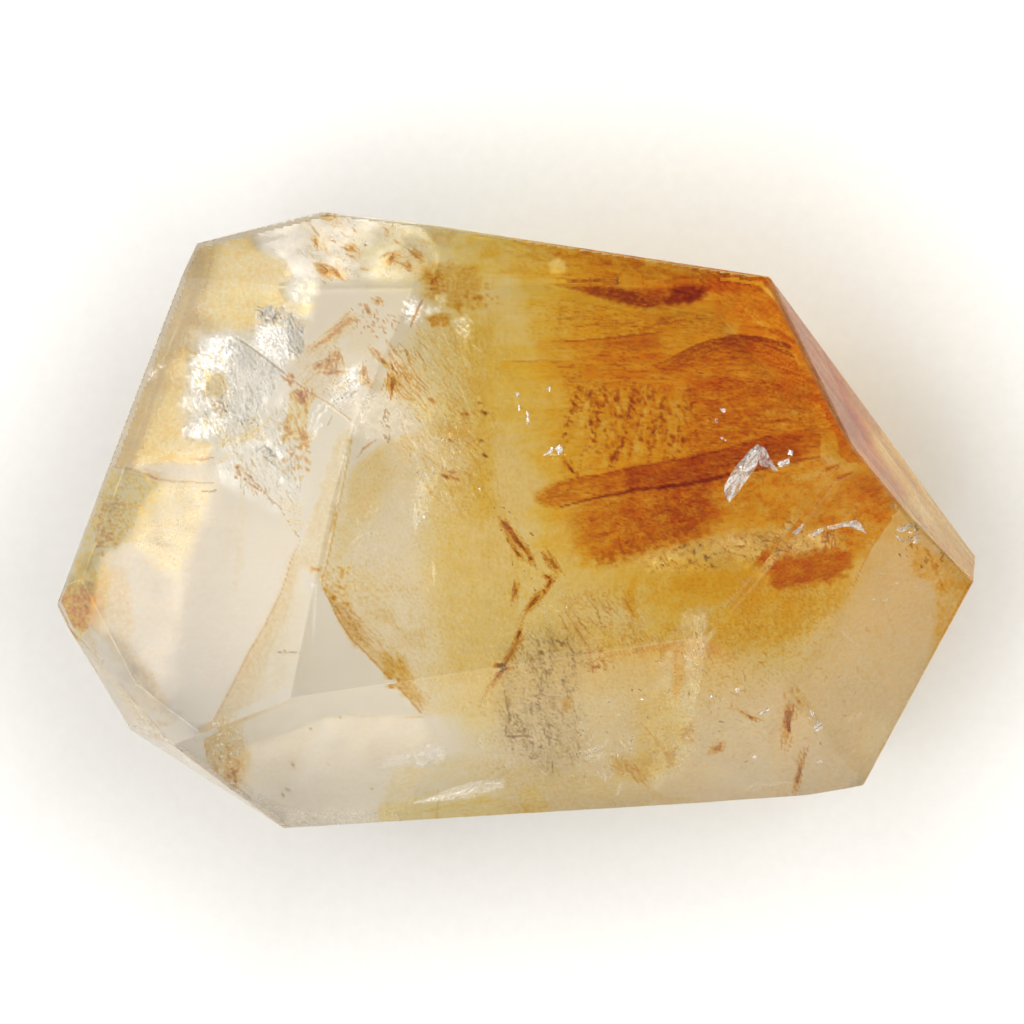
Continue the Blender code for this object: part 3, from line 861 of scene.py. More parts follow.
    c.hairs([(585, 392), (690, 388), (690, 408), (600, 420)], 40, (5, 14), 62, 30, (0.5, 0.9), 34, brown=0.45)
    c.spots([(590, 392), (690, 392), (690, 450), (600, 456)], 46, (1.4, 3.8), 35, 80, 50, 1.8, wipe=0.7)
    for k, x0 in enumerate((590, 609, 628, 649, 668, 686)):
        c.area([(x0 - 4, 390), (x0 + 5, 387), (x0 - 4, 420), (x0 - 12, 450), (x0 - 19, 450), (x0 - 11, 418)], 2.5, 4, 6, tex=T_spot(6, 10, 0.0, 0.4, 650 + k), wipe=0.72)
    c.line([(572, 386), (583, 392), (596, 402), (612, 402)], [0.8, 1.6, 2.0, 0.8], 0.7, 2.5, 5, brown=0.5)
    c.line([(590, 418), (640, 414), (690, 413), (740, 412), (790, 409)], 0.6, 0.8, 1.8, 10, brown=0.30)
    c.line([(545, 410), (575, 408), (600, 412)], 0.6, 0.8, 1.8, 8, brown=0.22)
    c.area([(764, 412), (776, 408), (800, 409), (796, 417), (772, 419)], 2, 2, 7, wipe=0.42, sheen=0.06)
    c.line([(763, 410), (772, 407), (790, 408), (806, 409)], [0.5, 1.0, 0.6], 0.7, 0.9, 6, brown=0.6)
    c.line([(757, 428), (768, 421), (786, 420), (802, 423)], [0.6, 1.1, 0.6], 0.7, 0.9, 6, brown=0.7)
    c.area([(764, 424), (790, 422), (806, 428), (780, 431)], 2.5, 2, 7, wipe=0.38)
    # gold runs on to the right edge, browner there
    edge = [(772, 268), (812, 328), (850, 400), (882, 462), (850, 452), (830, 408), (800, 345), (768, 300)]
    c.area(edge, 5, 4, 12, tex=T_str(60, 40, 4, 1, 0.7, 332), orange=0.50, brown=0.12)
    c.area([(798, 352), (826, 368), (858, 440), (836, 424), (812, 392)], 6, 5, 10, tex=T_thread(22, 5, 0.18, 333, 52), brown=0.5)
    # flecks round the pale white cluster
    c.hairs([(560, 456), (584, 462), (580, 482), (564, 478)], 10, (5, 13), 60, 30, (0.6, 1.2), 38, brown=0.7)
    c.area([(534, 388), (556, 386), (566, 396), (560, 410), (536, 404)], 5, 4, 10, wipe=0.4)


def paint_lower(c, P):
    """Lower gold film: top band, streak A, band D-E, the orange body under E, fringe, red patch."""
    # band along the top, above the pale line
    tb = [(405, 218), (560, 232), (772, 262), (776, 284), (720, 292), (640, 292), (600, 281), (560, 278), (420, 276)]
    c.area(tb, 4, 3, 16, tex=T_mul(T_ramp(425, 540, 34, 18, 340), T_str(16, 34, 5, 0.95, 0.9, 40)), gold=0.62, orange=0.08)
    c.area(tb, 4, 3, 16, tex=T_mul(T_ramp(500, 620, 40, 22, 341), T_str(14, 30, 6, 0.8, 1.3, 41)), orange=0.48, brown=0.16)
    c.area(tb, 4, 3, 16, tex=T_mul(T_ramp(440, 620, 40, 22, 342), T_thread(18, 6, 0.15, 343, 14)), brown=0.42)
    c.area(tb, 4, 3, 16, tex=T_mul(T_ramp(470, 600, 30, 22, 344), T_spot(26, 7, 0.0, 0.4, 345)), brown=0.38, orange=0.15)
    c.shade([(500, 235), (560, 242), (640, 253), (720, 264), (768, 273)], [2, 5, 7, 5], 1, 1.2, 12, tex=T_fbm(14, 6, 1, 0.8, 346), brown=0.75, orange=0.25)
    c.area([(547, 262), (556, 257), (566, 262), (566, 274), (550, 276)], 3, 3, 8, wipe=0.8, sheen=0.22)
    c.area([(478, 250), (498, 247), (500, 254), (482, 257)], 4, 3, 8, orange=0.40)
    c.area([(645, 260), (656, 258), (657, 264), (646, 265)], 2, 1.5, 6, wipe=0.6, sheen=0.14)
    c.area([(668, 268), (700, 262), (724, 268), (700, 274), (672, 276)], 3, 3, 10, tex=T_str(10, 20, 3, 1, 0.8, 42), wipe=0.5)
    c.blob(558, 254, 4, 2, -20, brown=0.8)
    c.blob(741, 277, 10, 3.0, 20, brown=0.7, rough=3)
    c.area([(690, 262), (765, 272), (772, 292), (700, 288)], 6, 5, 10, tex=T_mul(T_thread(18, 5, 0.20, 347, 22), T_fbm(14, 8, 1, 0.9, 603)), brown=1.1)
    c.line([(474, 275), (556, 276), (600, 279), (632, 287)], 0.7, 0.7, 0.6, 12, wipe=0.5, sheen=0.07)
    c.line([(556, 278), (600, 281), (622, 285)], 0.5, 0.7, 0.6, 12, brown=0.35)
    # streak A
    A = [(556, 286), (575, 286), (600, 287), (620, 288), (633, 291), (643, 293), (655, 289), (668, 287), (680, 287), (690, 287), (703, 287),
         (708, 289), (706, 292), (701, 298), (690, 302), (672, 304), (655, 306), (640, 308), (620, 303), (600, 297), (580, 290), (562, 284)]
    c.area(A, 3.0, 4.5, 7, tex=T_str(12, 26, 2.6, 0.95, 1.2, 44), brown=1.05, orange=0.42)
    c.area(A, 2.5, 4, 7, tex=T_thread(20, 3.6, 0.17, 570, 12), brown=0.9)
    c.area([(672, 274), (704, 274), (708, 284), (670, 284)], 5, 5, 8, tex=T_fbm(7, 5, 1, 1.2, 580), brown=0.30)
    c.area([(676, 288), (704, 288), (706, 296), (690, 303), (664, 303)], 4, 4, 8, tex=T_fbm(7, 5, 1, 1.2, 45), brown=1.6)
    c.area([(604, 286), (632, 290), (640, 304), (612, 298)], 3, 3, 9, tex=T_str(12, 24, 2.4, 1, 1.0, 46), brown=0.5)
    c.line([(640, 299), (648, 304), (656, 305), (662, 298)], [0.8, 1.6, 1.3, 0.6], 0.7, 1.8, 5, brown=1.1)
    for k in range(6):
        c.line([(557, 282 + k * 0.5), (585, 284 + k * 1.8), (618, 289 + k * 2.4), (644, 295 + k * 2.2)], [0.3, 0.7, 0.6, 0.4], 0.7, 1.6, 11, brown=0.60)
    # silk under everything on this film
    ground = [(500, 296), (640, 312), (780, 290), (860, 430), (900, 498), (862, 556), (700, 560), (590, 562), (540, 540), (510, 470)]
    c.area(ground, 14, 8, 20, tex=T_mul(T_ramp(520, 640, 30, 24, 348), T_thread(34, 6.5, 0.12, 349)), brown=0.36, orange=0.12)
    # band D-E
    D = [(534, 496), (556, 483), (575, 478), (600, 475), (625, 469), (660, 463), (690, 458), (715, 452), (740, 445), (760, 439), (775, 435), (800, 431), (830, 436), (856, 442)]
    E = [(534, 500), (545, 506), (560, 507), (580, 502), (600, 497), (630, 491), (660, 487), (690, 484), (715, 478), (740, 473), (775, 466), (800, 460), (830, 455), (866, 452)]
    de = D + E[::-1]
    c.area(de, 4, 3, 9, tex=T_silk(60, 3.6, 0.9, 1.3, 350), orange=0.62, brown=0.14)
    c.area([(625, 470), (690, 459), (760, 442), (800, 434), (800, 460), (740, 474), (690, 484), (630, 491)], 7, 4, 12,
           tex=T_silk(34, 2.8, 1, 1.0, 351), brown=0.85, orange=0.10)
    c.area([(532, 494), (560, 481), (640, 466), (640, 490), (580, 504), (545, 507)], 4, 4, 9, tex=T_silk(50, 3.2, 0.9, 1.2, 611), orange=0.34, brown=0.14)
    c.shade(D[1:], [3, 6, 8, 6], 1, 1.2, 9, tex=T_silk(30, 3, 1, 0.8, 352), orange=0.30, brown=0.16)
    c.line(D[1:-3], [0.4, 0.8, 1.0, 0.8], 0.7, 1.8, 8, brown=1.15)
    c.line(E[2:-3], [0.5, 0.9, 1.5, 2.0, 1.6, 1.0], 0.6, 1.5, 8, brown=2.3)
    c.line(E[-4:], [0.9, 1.0, 0.8], 0.7, 0.9, 9, brown=1.3)
    c.area(de, 4, 3, 9, tex=T_thread(40, 4.2, 0.15, 353), brown=0.62)
    for pts in ([(550, 494), (600, 485), (660, 476)], [(640, 482), (700, 472), (760, 458)], [(700, 470), (760, 453), (820, 448)], [(760, 446), (800, 440), (840, 446)]):
        c.line(pts, [0.4, 0.8, 0.4], 0.7, 1.8, 8, brown=0.40)
    # body under E
    body = [(538, 520), (556, 510), (580, 503), (600, 498), (630, 492), (660, 488), (690, 484), (740, 474), (800, 461), (862, 452), (884, 462),
            (907, 500), (900, 520), (870, 552), (846, 556), (812, 530), (770, 524), (735, 526), (705, 532), (685, 541), (662, 548), (642, 552),
            (622, 557), (600, 565), (576, 560), (552, 540)]
    c.area(body, 8, 10, 10, tex=T_mul(T_ramp(530, 610, 22, 14, 588), T_mul(T_fbm(24, 13, 0.9, 1.2, 50), T_silk(26, 4.4, 1, 0.7, 354))), orange=0.74, gold=0.30)
    c.area([(570, 512), (640, 494), (715, 482), (716, 520), (680, 538), (640, 548), (600, 560), (578, 545)], 14, 9, 12,
           tex=T_mul(T_fbm(13, 9, 0.9, 1.0, 51), T_str(-14, 26, 3, 1, 0.7, 52)), orange=0.34, brown=0.34)
    c.shade(E[3:10], [6, 14, 18, 12], 1, 2, 10, tex=T_silk(24, 4, 1, 0.9, 355), brown=0.34)
    c.area([(662, 490), (712, 482), (718, 505), (702, 532), (670, 538)], 10, 8, 9, tex=T_fbm(8, 6, 0.9, 1.3, 53), brown=0.55)
    c.area([(842, 452), (876, 458), (897, 490), (874, 500), (854, 480)], 7, 6, 9, tex=T_str(42, 20, 4, 1, 0.9, 54), brown=0.42, orange=0.25)
    c.area([(735, 478), (800, 466), (830, 470), (800, 515), (740, 515)], 14, 9, 12, tex=T_fbm(16, 10, 1, 0.8, 356), wipe=0.34)
    c.area(body, 6, 6, 10, tex=T_mul(T_ramp(540, 620, 22, 14, 589), T_thread(20, 7, 0.11, 357, -22)), brown=0.50)
    c.area(body, 8, 8, 10, tex=T_mul(T_ramp(540, 600, 22, 14, 590), T_spot(22, 9, -0.1, 0.3, 591)), wipe=0.40)
    c.area([(572, 382), (700, 382), (700, 452), (600, 470), (582, 460)], 9, 8, 12, tex=T_mul(T_spot(7, 13, -0.05, 0.35, 600), T_fbm(40, 20, 1, 0.8, 601)), wipe=0.9)
    c.area([(846, 452), (884, 462), (907, 500), (896, 524), (872, 520), (850, 490)], 7, 6, 9, tex=T_fbm(14, 10, 1, 0.7, 602), orange=0.42, brown=0.10)
    c.area([(740, 480), (870, 455), (905, 500), (850, 550), (760, 522)], 8, 6, 10, tex=T_thread(22, 6, 0.15, 358, -34), brown=0.30, orange=0.16)
    c.area([(575, 520), (700, 500), (700, 535), (600, 562)], 6, 6, 9, tex=T_spot(6, 4.5, 0.02, 0.35, 359), brown=0.50)
    c.line([(543, 520), (575, 505), (600, 500)], [0.8, 1.4, 0.8], 0.7, 1.4, 8, wipe=0.5)
    c.area([(522, 512), (560, 502), (566, 512), (548, 530), (530, 545), (560, 552), (540, 524)], 8, 7, 9, tex=T_str(-12, 24, 3.6, 1, 0.8, 360), gold=0.55, orange=0.06)
    c.area([(600, 500), (700, 486), (716, 510), (690, 534), (620, 550)], 10, 8, 10, tex=T_vein(9, 0.10, 574, 6), brown=0.7)
    c.area([(740, 480), (846, 462), (862, 490), (820, 524), (744, 520)], 10, 8, 10, tex=T_mul(T_vein(10, 0.09, 575, 7), T_fbm(24, 16, 0.8, 1.2, 576)), wipe=0.5)
    # T2: pale translucent strip cut across the gold
    T2 = [(838, 436), (850, 447), (853, 466), (843, 482), (812, 528), (795, 545), (790, 540), (812, 508), (834, 476), (842, 462), (838, 448)]
    c.area(T2, 1.4, 1.0, 8, tex=T_fbm(10, 10, 1, 0.5, 361), wipe=0.36, mauve=0.10)
    c.line([(852, 448), (854, 466), (845, 482), (814, 528)], 0.6, 0.6, 0.5, 8, brown=0.40)
    c.area([(822, 434), (836, 434), (844, 446), (832, 446)], 3, 2, 6, mauve=0.35)
    # ragged fringe and pale dendrites under the body
    c.area([(592, 556), (620, 545), (650, 536), (690, 524), (705, 532), (690, 544), (660, 552), (625, 562), (598, 568)], 4, 8, 6,
           tex=T_spot(7, 5, -0.20, 0.3, 58), brown=0.72, orange=0.2)
    band = [(640, 562), (652, 552), (680, 545), (715, 537), (760, 532), (800, 530), (832, 530), (842, 546), (800, 556), (772, 558), (740, 566), (690, 572), (650, 572)]
    c.area(band, 7, 9, 7, wipe=0.85)
    c.area(band, 6, 8, 8, tex=T_fbm(9, 6, 0.9, 1.5, 59), sheen=0.22, haze=0.16, gold=0.26)
    c.area(band, 4, 6, 8, tex=T_mul(T_vein(12, 0.10, 60, 8), T_fbm(26, 16, 0.6, 1.6, 362)), brown=1.0, grey=0.30)
    c.area(band, 4, 6, 8, tex=T_mul(T_spot(6, 4, 0.12, 0.4, 363), T_fbm(30, 16, 0.8, 1.2, 364)), brown=0.55, grey=0.20)
    for x, y in ((676, 550), (690, 561), (700, 545), (706, 558), (661, 566), (760, 537), (766, 546), (712, 566), (684, 546), (694, 552)):
        c.blob(x, y, 3.2, 1.6, (x * 7) % 90, rough=3.0, scale=4, grey=0.9, brown=0.5)
    # red patch with its comb
    red = [(770, 562), (784, 556), (800, 557), (828, 549), (848, 552), (852, 566), (838, 580), (800, 586), (778, 589), (768, 577)]
    c.area(red, 6, 8, 7, tex=T_mul(T_fbm(16, 9, 1, 0.8, 62), T_str(-18, 14, 3, 1, 0.5, 365)), orange=1.15, brown=0.50, gold=0.3)
    c.area(red, 5, 6, 7, tex=T_thread(10, 5, 0.20, 366, -24), brown=0.50)
    for k in range(5):
        c.line([(822 + 3 * k, 532 - k * 0.6), (823 + 3 * k, 545 + (k % 2) * 5)], [0.9, 0.5], 0.6, 1.2, 5, brown=0.8)
    # yellow scribble and haze below
    sc = [(640, 575), (700, 568), (770, 566), (780, 590), (850, 585), (840, 612), (790, 640), (700, 655), (655, 625), (648, 590)]
    c.area(sc, 16, 10, 16, tex=T_mul(T_fbm(15, 11, 0.9, 1.2, 64), T_fbm(50, 30, 1, 0.6, 367)), gold=0.48, orange=0.04)
    c.area(sc, 14, 8, 14, tex=T_vein(8, 0.14, 368, 6.5), brown=0.28, gold=0.2)
    c.area([(760, 580), (850, 582), (838, 612), (780, 640), (720, 650), (690, 640)], 10, 8, 12, tex=T_thread(9, 5.5, 0.18, 369, 68), brown=0.26, gold=0.25)
    c.line([(636, 578), (630, 592), (630, 606), (637, 619), (641, 622)], [2.0, 4.5, 5.0, 3.4, 1.2], 0.8, 3, 7, orange=0.42, gold=0.3)
    c.line([(624, 599), (629, 607), (634, 616)], [0.6, 1.2, 0.6], 0.6, 1.4, 5, brown=0.7)
    c.line([(640, 606), (650, 600), (656, 590)], [1.5, 2.5, 1], 0.8, 2, 6, orange=0.25)
    c.area([(660, 556), (765, 560), (760, 604), (680, 604)], 14, 10, 12, gold=0.42, orange=0.06, tex=T_fbm(12, 9, 0.9, 1.1, 66))
    # the gold stops at the straight arris that falls from the bevel to the lower right
    c.area([(906, 498), (871, 548), (848, 596), (816, 640), (760, 700), (990, 760), (1010, 545), (940, 530)], 1.2, 0.6, 20, wipe=0.90)
    c.line([(903, 502), (871, 548), (849, 594)], [0.5, 0.8, 0.5], 0.6, 0.5, 12, brown=0.35, orange=0.2)


def paint_deep(c, P):
    """Broad honey-coloured cloud behind the films."""
    c.area([(470, 240), (640, 246), (776, 266), (820, 340), (860, 420), (912, 500), (880, 552), (840, 602), (780, 628), (700, 606), (640, 600),
            (575, 580), (545, 550), (520, 500), (500, 440), (476, 400)], 22, 16, 40, tex=T_mul(T_ramp(480, 590, 36, 30, 370), T_fbm(46, 30, 1, 0.55, 67)),
           gold=0.42, tan=0.16, orange=0.06)
    c.area([(560, 330), (780, 300), (850, 420), (900, 500), (862, 552), (700, 545), (600, 555), (560, 500), (570, 420)], 26, 14, 34,
           tex=T_fbm(34, 18, 1, 0.6, 371), orange=0.14, gold=0.14)
    c.area([(440, 235), (770, 270), (915, 505), (880, 560), (800, 650), (700, 690), (560, 670), (470, 600), (432, 420), (425, 300)], 40, 22, 60,
           tex=T_fbm(60, 40, 1, 0.6, 68), gold=0.10, tan=0.04)
    c.area([(910, 500), (875, 550), (850, 600), (818, 644), (760, 700), (990, 760), (1010, 545), (940, 530)], 2.5, 1, 20, wipe=0.85)


gold_mat = stain_mat("stain_gold", 3200.0, 0.34, (1, 2.2, 1), 0.10, bump=0)
deep_mat = stain_mat("stain_cloud", 900.0, 0.40, bump=0)
sheet("gold_film_upper", (462, 225, 892, 500), lambda a, b: np.minimum(23.4 + 0.3 * (a - 660) / 100 + 0.9 * (b - 420) / 100 + 0.5 * fbm(a / 110, b / 110, 72, 3), dome(a, b, 0.8) - 0.5),
      paint_upper, 1.45, gold_mat, density=0.66)
sheet("gold_film_lower", (400, 212, 940, 668), lambda a, b: np.minimum(20.2 + 0.5 * (a - 660) / 100 - 0.7 * (b - 480) / 100 + 0.7 * fbm(a / 120, b / 120, 73, 3), dome(a, b, 0.8) - 1.3),
      paint_lower, 1.7, gold_mat, density=0.66)
sheet("gold_cloud_deep", (415, 215, 985, 735), lambda a, b: np.minimum(10.5 + 1.5 * (a - 660) / 100 + 0.6 * (b - 460) / 100 + 1.8 * fbm(a / 150, b / 150, 74, 3), dome(a, b, 0.8) - 2.5),
      paint_deep, 4.0, deep_mat, density=0.55)


# outlines of the iron-stained flakes, each with depth and tilts
rust_shapes = [([(505, 523), (511, 528), (519, 538), (527, 548), (530, 556), (522, 552), (514, 545), (508, 535)], 2.6, 0.5, 0.3),
               ([(498, 518), (506, 522), (510, 530), (503, 528)], 2.2, 0.4, 0.3), ([(512, 547), (520, 552), (524, 560), (516, 557)], 2.9, 0.3, 0.4),
               ([(528, 552), (534, 560), (530, 562)], 2.4, 0.2, 0.4), ([(546, 556), (552, 555), (556, 563), (562, 572), (556, 572), (549, 565)], 2.8, 0.5, 0.4),
               ([(542, 573), (552, 576), (551, 580), (545, 579)], 3.1, 0.3, 0.2), ([(550, 578), (555, 574), (552, 586), (544, 592), (546, 585)], 3.0, -0.5, 0.4),
               ([(538, 592), (544, 590), (540, 600), (532, 608), (524, 616), (526, 606), (533, 598)], 3.2, -0.5, 0.4),
               ([(513, 586), (519, 587), (517, 597), (512, 600)], 2.4, 0.2, 0.5), ([(519, 628), (523, 630), (518, 640), (515, 640)], 3.3, -0.4, 0.4),
               ([(516, 640), (521, 641), (512, 658), (502, 672), (497, 681), (493, 687), (491, 684), (498, 672), (506, 658)], 1.6, -0.1, 0.1),
               ([(322, 213), (330, 211), (335, 214), (330, 218), (324, 217)], 1.3, 0.3, 0.2), ([(312, 236), (317, 238), (319, 245), (314, 243)], 1.6, 0.4, 0.5),
               ([(346, 245), (352, 244), (357, 249), (350, 252)], 1.8, 0.2, 0.3), ([(317, 266), (325, 265), (332, 271), (330, 276), (322, 274)], 2.0, 0.3, 0.4),
               ([(332, 270), (338, 274), (343, 279), (337, 277)], 2.1, 0.4, 0.4), ([(386, 256), (394, 252), (399, 255), (392, 262), (387, 265)], 1.9, 0.3, 0.3),
               ([(410, 251), (417, 250), (422, 258), (414, 258)], 1.7, 0.2, 0.4), ([(404, 268), (408, 262), (412, 270)], 2.1, 0.2, 0.2),
               ([(364, 308), (369, 307), (372, 316), (367, 315)], 2.0, 0.3, 0.5), ([(372, 299), (379, 298), (383, 304), (376, 304)], 1.9, 0.3, 0.2),
               ([(334, 352), (340, 350), (342, 362), (336, 366)], 1.8, -0.2, 0.5), ([(326, 357), (332, 355), (331, 366), (325, 371)], 1.9, -0.4, 0.5),
               ([(313, 365), (320, 361), (324, 364), (317, 370)], 1.7, -0.4, 0.3), ([(327, 371), (342, 370), (341, 374), (328, 374)], 1.9, 0.1, 0.2),
               ([(360, 368), (365, 367), (367, 378), (362, 380)], 2.1, 0.4, 0.5), ([(365, 378), (372, 382), (371, 387), (366, 384)], 2.2, 0.4, 0.3),
               ([(373, 353), (378, 354), (390, 365), (392, 370), (382, 363)], 2.0, 0.4, 0.4), ([(388, 372), (396, 374), (400, 384), (393, 395), (386, 388)], 2.2, 0.2, 0.5),
               ([(788, 706), (796, 703), (794, 714), (790, 724), (791, 738), (786, 738), (784, 722)], 2.6, 0.1, 0.6), ([(711, 750), (718, 744), (725, 744), (722, 751), (714, 753)], 2.0, 0.4, 0.2),
               ([(741, 712), (748, 714), (757, 719), (750, 720)], 2.4, 0.3, 0.2), ([(800, 762), (804, 760), (801, 775), (797, 790), (795, 785)], 1.6, -0.2, 0.5),
               ([(908, 545), (914, 540), (913, 552)], 1.9, 0.3, 0.3), ([(925, 553), (931, 558), (927, 568), (922, 562)], 1.9, 0.3, 0.3), ([(935, 560), (941, 567), (936, 572)], 1.6, 0.2, 0.3),
               ([(565, 463), (571, 466), (578, 476), (572, 474)], 2.6, 0.3, 0.4), ([(736, 275), (748, 277), (752, 282), (740, 281)], 2.4, 0.4, 0.2)]


# -------------------------------------------------------- left fractures ----
def ragged(c, shapes, seed):
    """Broken iron-stained strokes that fill and fray each little shape."""
    for k, poly in enumerate(shapes):
        q = np.asarray(poly, float)
        m = q.mean(0)
        w, ax = np.linalg.eigh(np.cov((q - m).T) + 1e-6 * np.eye(2))
        ang = math.degrees(math.atan2(ax[1, 1], ax[0, 1])); L = 3.4 * math.sqrt(w[1])
        big = (m + (q - m) * 1.35).tolist()
        area = L * 3.4 * math.sqrt(w[0])
        c.area(poly, 2.2, 5.5, 3.5, tex=T_mul(T_str(ang, 9, 2.4, 0.9, 1.1, seed + k), T_fbm(5, 5, 0.9, 0.9, seed + k + 60)), orange=0.09, brown=0.10, tan=0.14, gold=0.16)
        c.hairs(big, int(5 + area / 15), (0.25 * L, 0.62 * L), ang, 14, (0.3, 0.65), seed + k, orange=0.10, brown=0.18, tan=0.16)


def paint_left(c, P):
    """Silver fractures, white veils, fan of strokes and rusty bands of the left half."""
    # silver fracture 1
    f1 = [(256, 310), (270, 305), (285, 307), (298, 313), (303, 325), (303, 346), (295, 358), (284, 367), (270, 360), (255, 348), (249, 341), (256, 330)]
    c.area(f1, 4, 8, 6, tex=T_mul(T_str(84, 14, 2.6, 0.8, 1.2, 80), T_fbm(9, 12, 0.9, 0.7, 500)), sheen=0.62, haze=0.26, grey=0.08, wipe=1.0)
    c.area([(258, 326), (288, 322), (292, 352), (280, 364), (256, 348)], 4, 3, 8, tex=T_str(80, 14, 2.8, 0.8, 1.1, 81), sheen=0.85, haze=0.16)
    c.area([(260, 310), (270, 306), (277, 312), (274, 322), (262, 322)], 2.5, 2.5, 5, tex=T_spot(4, 4, -0.3, 0.2, 82), grey=0.95)
    c.area([(286, 312), (303, 322), (303, 350), (290, 352)], 3, 3, 7, tex=T_str(70, 10, 2.6, 0.6, 1.6, 83), grey=0.5)
    c.hairs([(284, 312), (303, 320), (303, 352), (288, 360)], 34, (4, 12), 74, 22, (0.4, 0.8), 84, grey=0.55)
    c.hairs([(256, 308), (284, 308), (280, 322), (256, 326)], 26, (3, 9), 60, 50, (0.45, 0.9), 640, grey=0.75)
    c.hairs(f1, 34, (4, 12), 80, 26, (0.4, 0.75), 641, grey=0.36)
    c.hairs([(255, 325), (290, 325), (286, 360), (258, 346)], 26, (6, 20), 84, 14, (0.4, 0.9), 85, sheen=0.8, haze=0.1)
    # silver fracture 2, cut along a straight lower facet line
    f2 = [(222, 336), (237, 338), (250, 347), (265, 358), (283, 372), (276, 384), (266, 402), (262, 425), (240, 430), (226, 420), (218, 400), (222, 372)]
    c.area(f2, 6, 9, 7, tex=T_mul(T_str(74, 18, 2.8, 0.8, 1.5, 86), T_fbm(12, 14, 0.9, 0.9, 501)), sheen=0.34, haze=0.18, grey=0.10, wipe=0.8)
    c.area(f2, 3, 4, 8, tex=T_mul(T_str(76, 14, 2.4, 0.2, 1.2, 87), T_fbm(14, 18, 0.9, 1.0, 88)), grey=0.34)
    c.area([(232, 346), (250, 352), (262, 366), (250, 372), (236, 362)], 4, 3, 8, tex=T_str(60, 12, 3, 0.9, 0.9, 89), grey=0.20)
    c.hairs(f2, 120, (3, 11), 78, 40, (0.35, 0.7), 90, grey=0.42)
    c.hairs(f2, 110, (4, 12), 74, 40, (0.4, 0.8), 91, sheen=0.50, haze=0.12)
    c.line([(236, 338), (250, 347), (265, 358), (284, 373)], [1.0, 0.9, 0.8, 0.7], 0.5, 0.4, 8, grey=0.55, brown=0.12)
    c.line([(238, 336.4), (266, 356), (286, 371)], 0.6, 0.5, 0.3, 8, sheen=0.45)
    # bright white burst at the left
    c.area([(200, 332), (236, 330), (240, 372), (222, 400), (228, 440), (178, 446), (184, 390)], 16, 9, 16, tex=T_fbm(18, 18, 1, 0.6, 642), sheen=0.30, haze=0.12, wipe=0.35)
    for poly, s in (([(208, 340), (232, 336), (236, 350), (226, 372), (212, 372), (202, 358)], 0.85), ([(192, 358), (206, 352), (214, 368), (208, 392), (196, 396), (190, 378)], 1.0),
                    ([(184, 400), (198, 397), (206, 404), (196, 412), (183, 409)], 0.8), ([(184, 434), (196, 424), (214, 414), (226, 420), (220, 432), (200, 438)], 1.0)):
        c.area(poly, 6, 9, 6, tex=T_mul(T_str(70, 12, 3, 0.9, 1.2, 92), T_fbm(8, 8, 1, 0.8, 502)), sheen=s * 1.25, haze=0.10, wipe=0.9)
    c.area([(204, 376), (222, 372), (228, 384), (220, 398), (206, 396)], 4, 3, 9, peach=0.6, gold=0.16, wipe=0.5)
    c.area([(212, 402), (224, 400), (229, 412), (218, 416)], 3, 3, 5, tex=T_spot(4, 4, -0.2, 0.3, 93), brown=0.6, grey=0.4)
    c.hairs([(200, 345), (236, 340), (232, 420), (205, 420)], 60, (4, 12), 70, 30, (0.5, 1.1), 94, sheen=0.45, haze=0.1)
    c.hairs([(206, 345), (236, 340), (228, 440), (204, 440)], 60, (3, 11), 70, 36, (0.4, 0.7), 520, grey=0.20, tan=0.2)
    c.hairs([(190, 350), (232, 350), (226, 436), (188, 436)], 40, (5, 14), 60, 40, (0.5, 1.0), 521, gold=0.3, peach=0.5)
    c.spots([(196, 350), (236, 342), (228, 440), (190, 430)], 40, (0.6, 1.6), 95, 80, 50, 1.6, grey=0.35)
    c.hairs([(143, 368), (162, 362), (160, 374), (146, 382)], 9, (6, 14), -25, 20, (0.7, 1.5), 96, sheen=0.9)
    # pale grey fibrous ground below, down to the silver wedge
    g1 = [(215, 420), (262, 425), (285, 400), (300, 440), (300, 500), (275, 505), (232, 482), (215, 470), (222, 450)]
    c.area(g1, 12, 12, 10, tex=T_mul(T_str(66, 16, 3.0, 0.8, 1.4, 97), T_fbm(14, 14, 0.9, 0.9, 503)), sheen=0.12, haze=0.10, grey=0.06)
    c.hairs(g1, 110, (5, 18), 66, 26, (0.4, 0.8), 98, sheen=0.24, haze=0.05)
    c.hairs(g1, 110, (4, 15), 70, 34, (0.4, 0.8), 522, grey=0.26)
    c.hairs(g1, 80, (5, 16), 64, 30, (0.5, 0.9), 99, tan=0.5, grey=0.12)
    c.hairs([(205, 440), (250, 420), (275, 395), (270, 420), (225, 462)], 26, (10, 26), -42, 12, (0.5, 1.0), 100, orange=0.16, tan=0.25)
    c.line([(256, 452), (264, 446), (272, 452), (266, 458), (275, 466)], [0.6, 1.0, 0.6], 0.6, 1.4, 5, grey=0.75)
    c.hairs([(255, 445), (276, 446), (278, 462), (258, 460)], 9, (4, 10), 40, 60, (0.5, 1.0), 101, grey=0.55)
    c.spots([(266, 425), (283, 430), (282, 480), (270, 480)], 10, (1, 2.6), 102, 80, 30, 2.0, sheen=0.95)
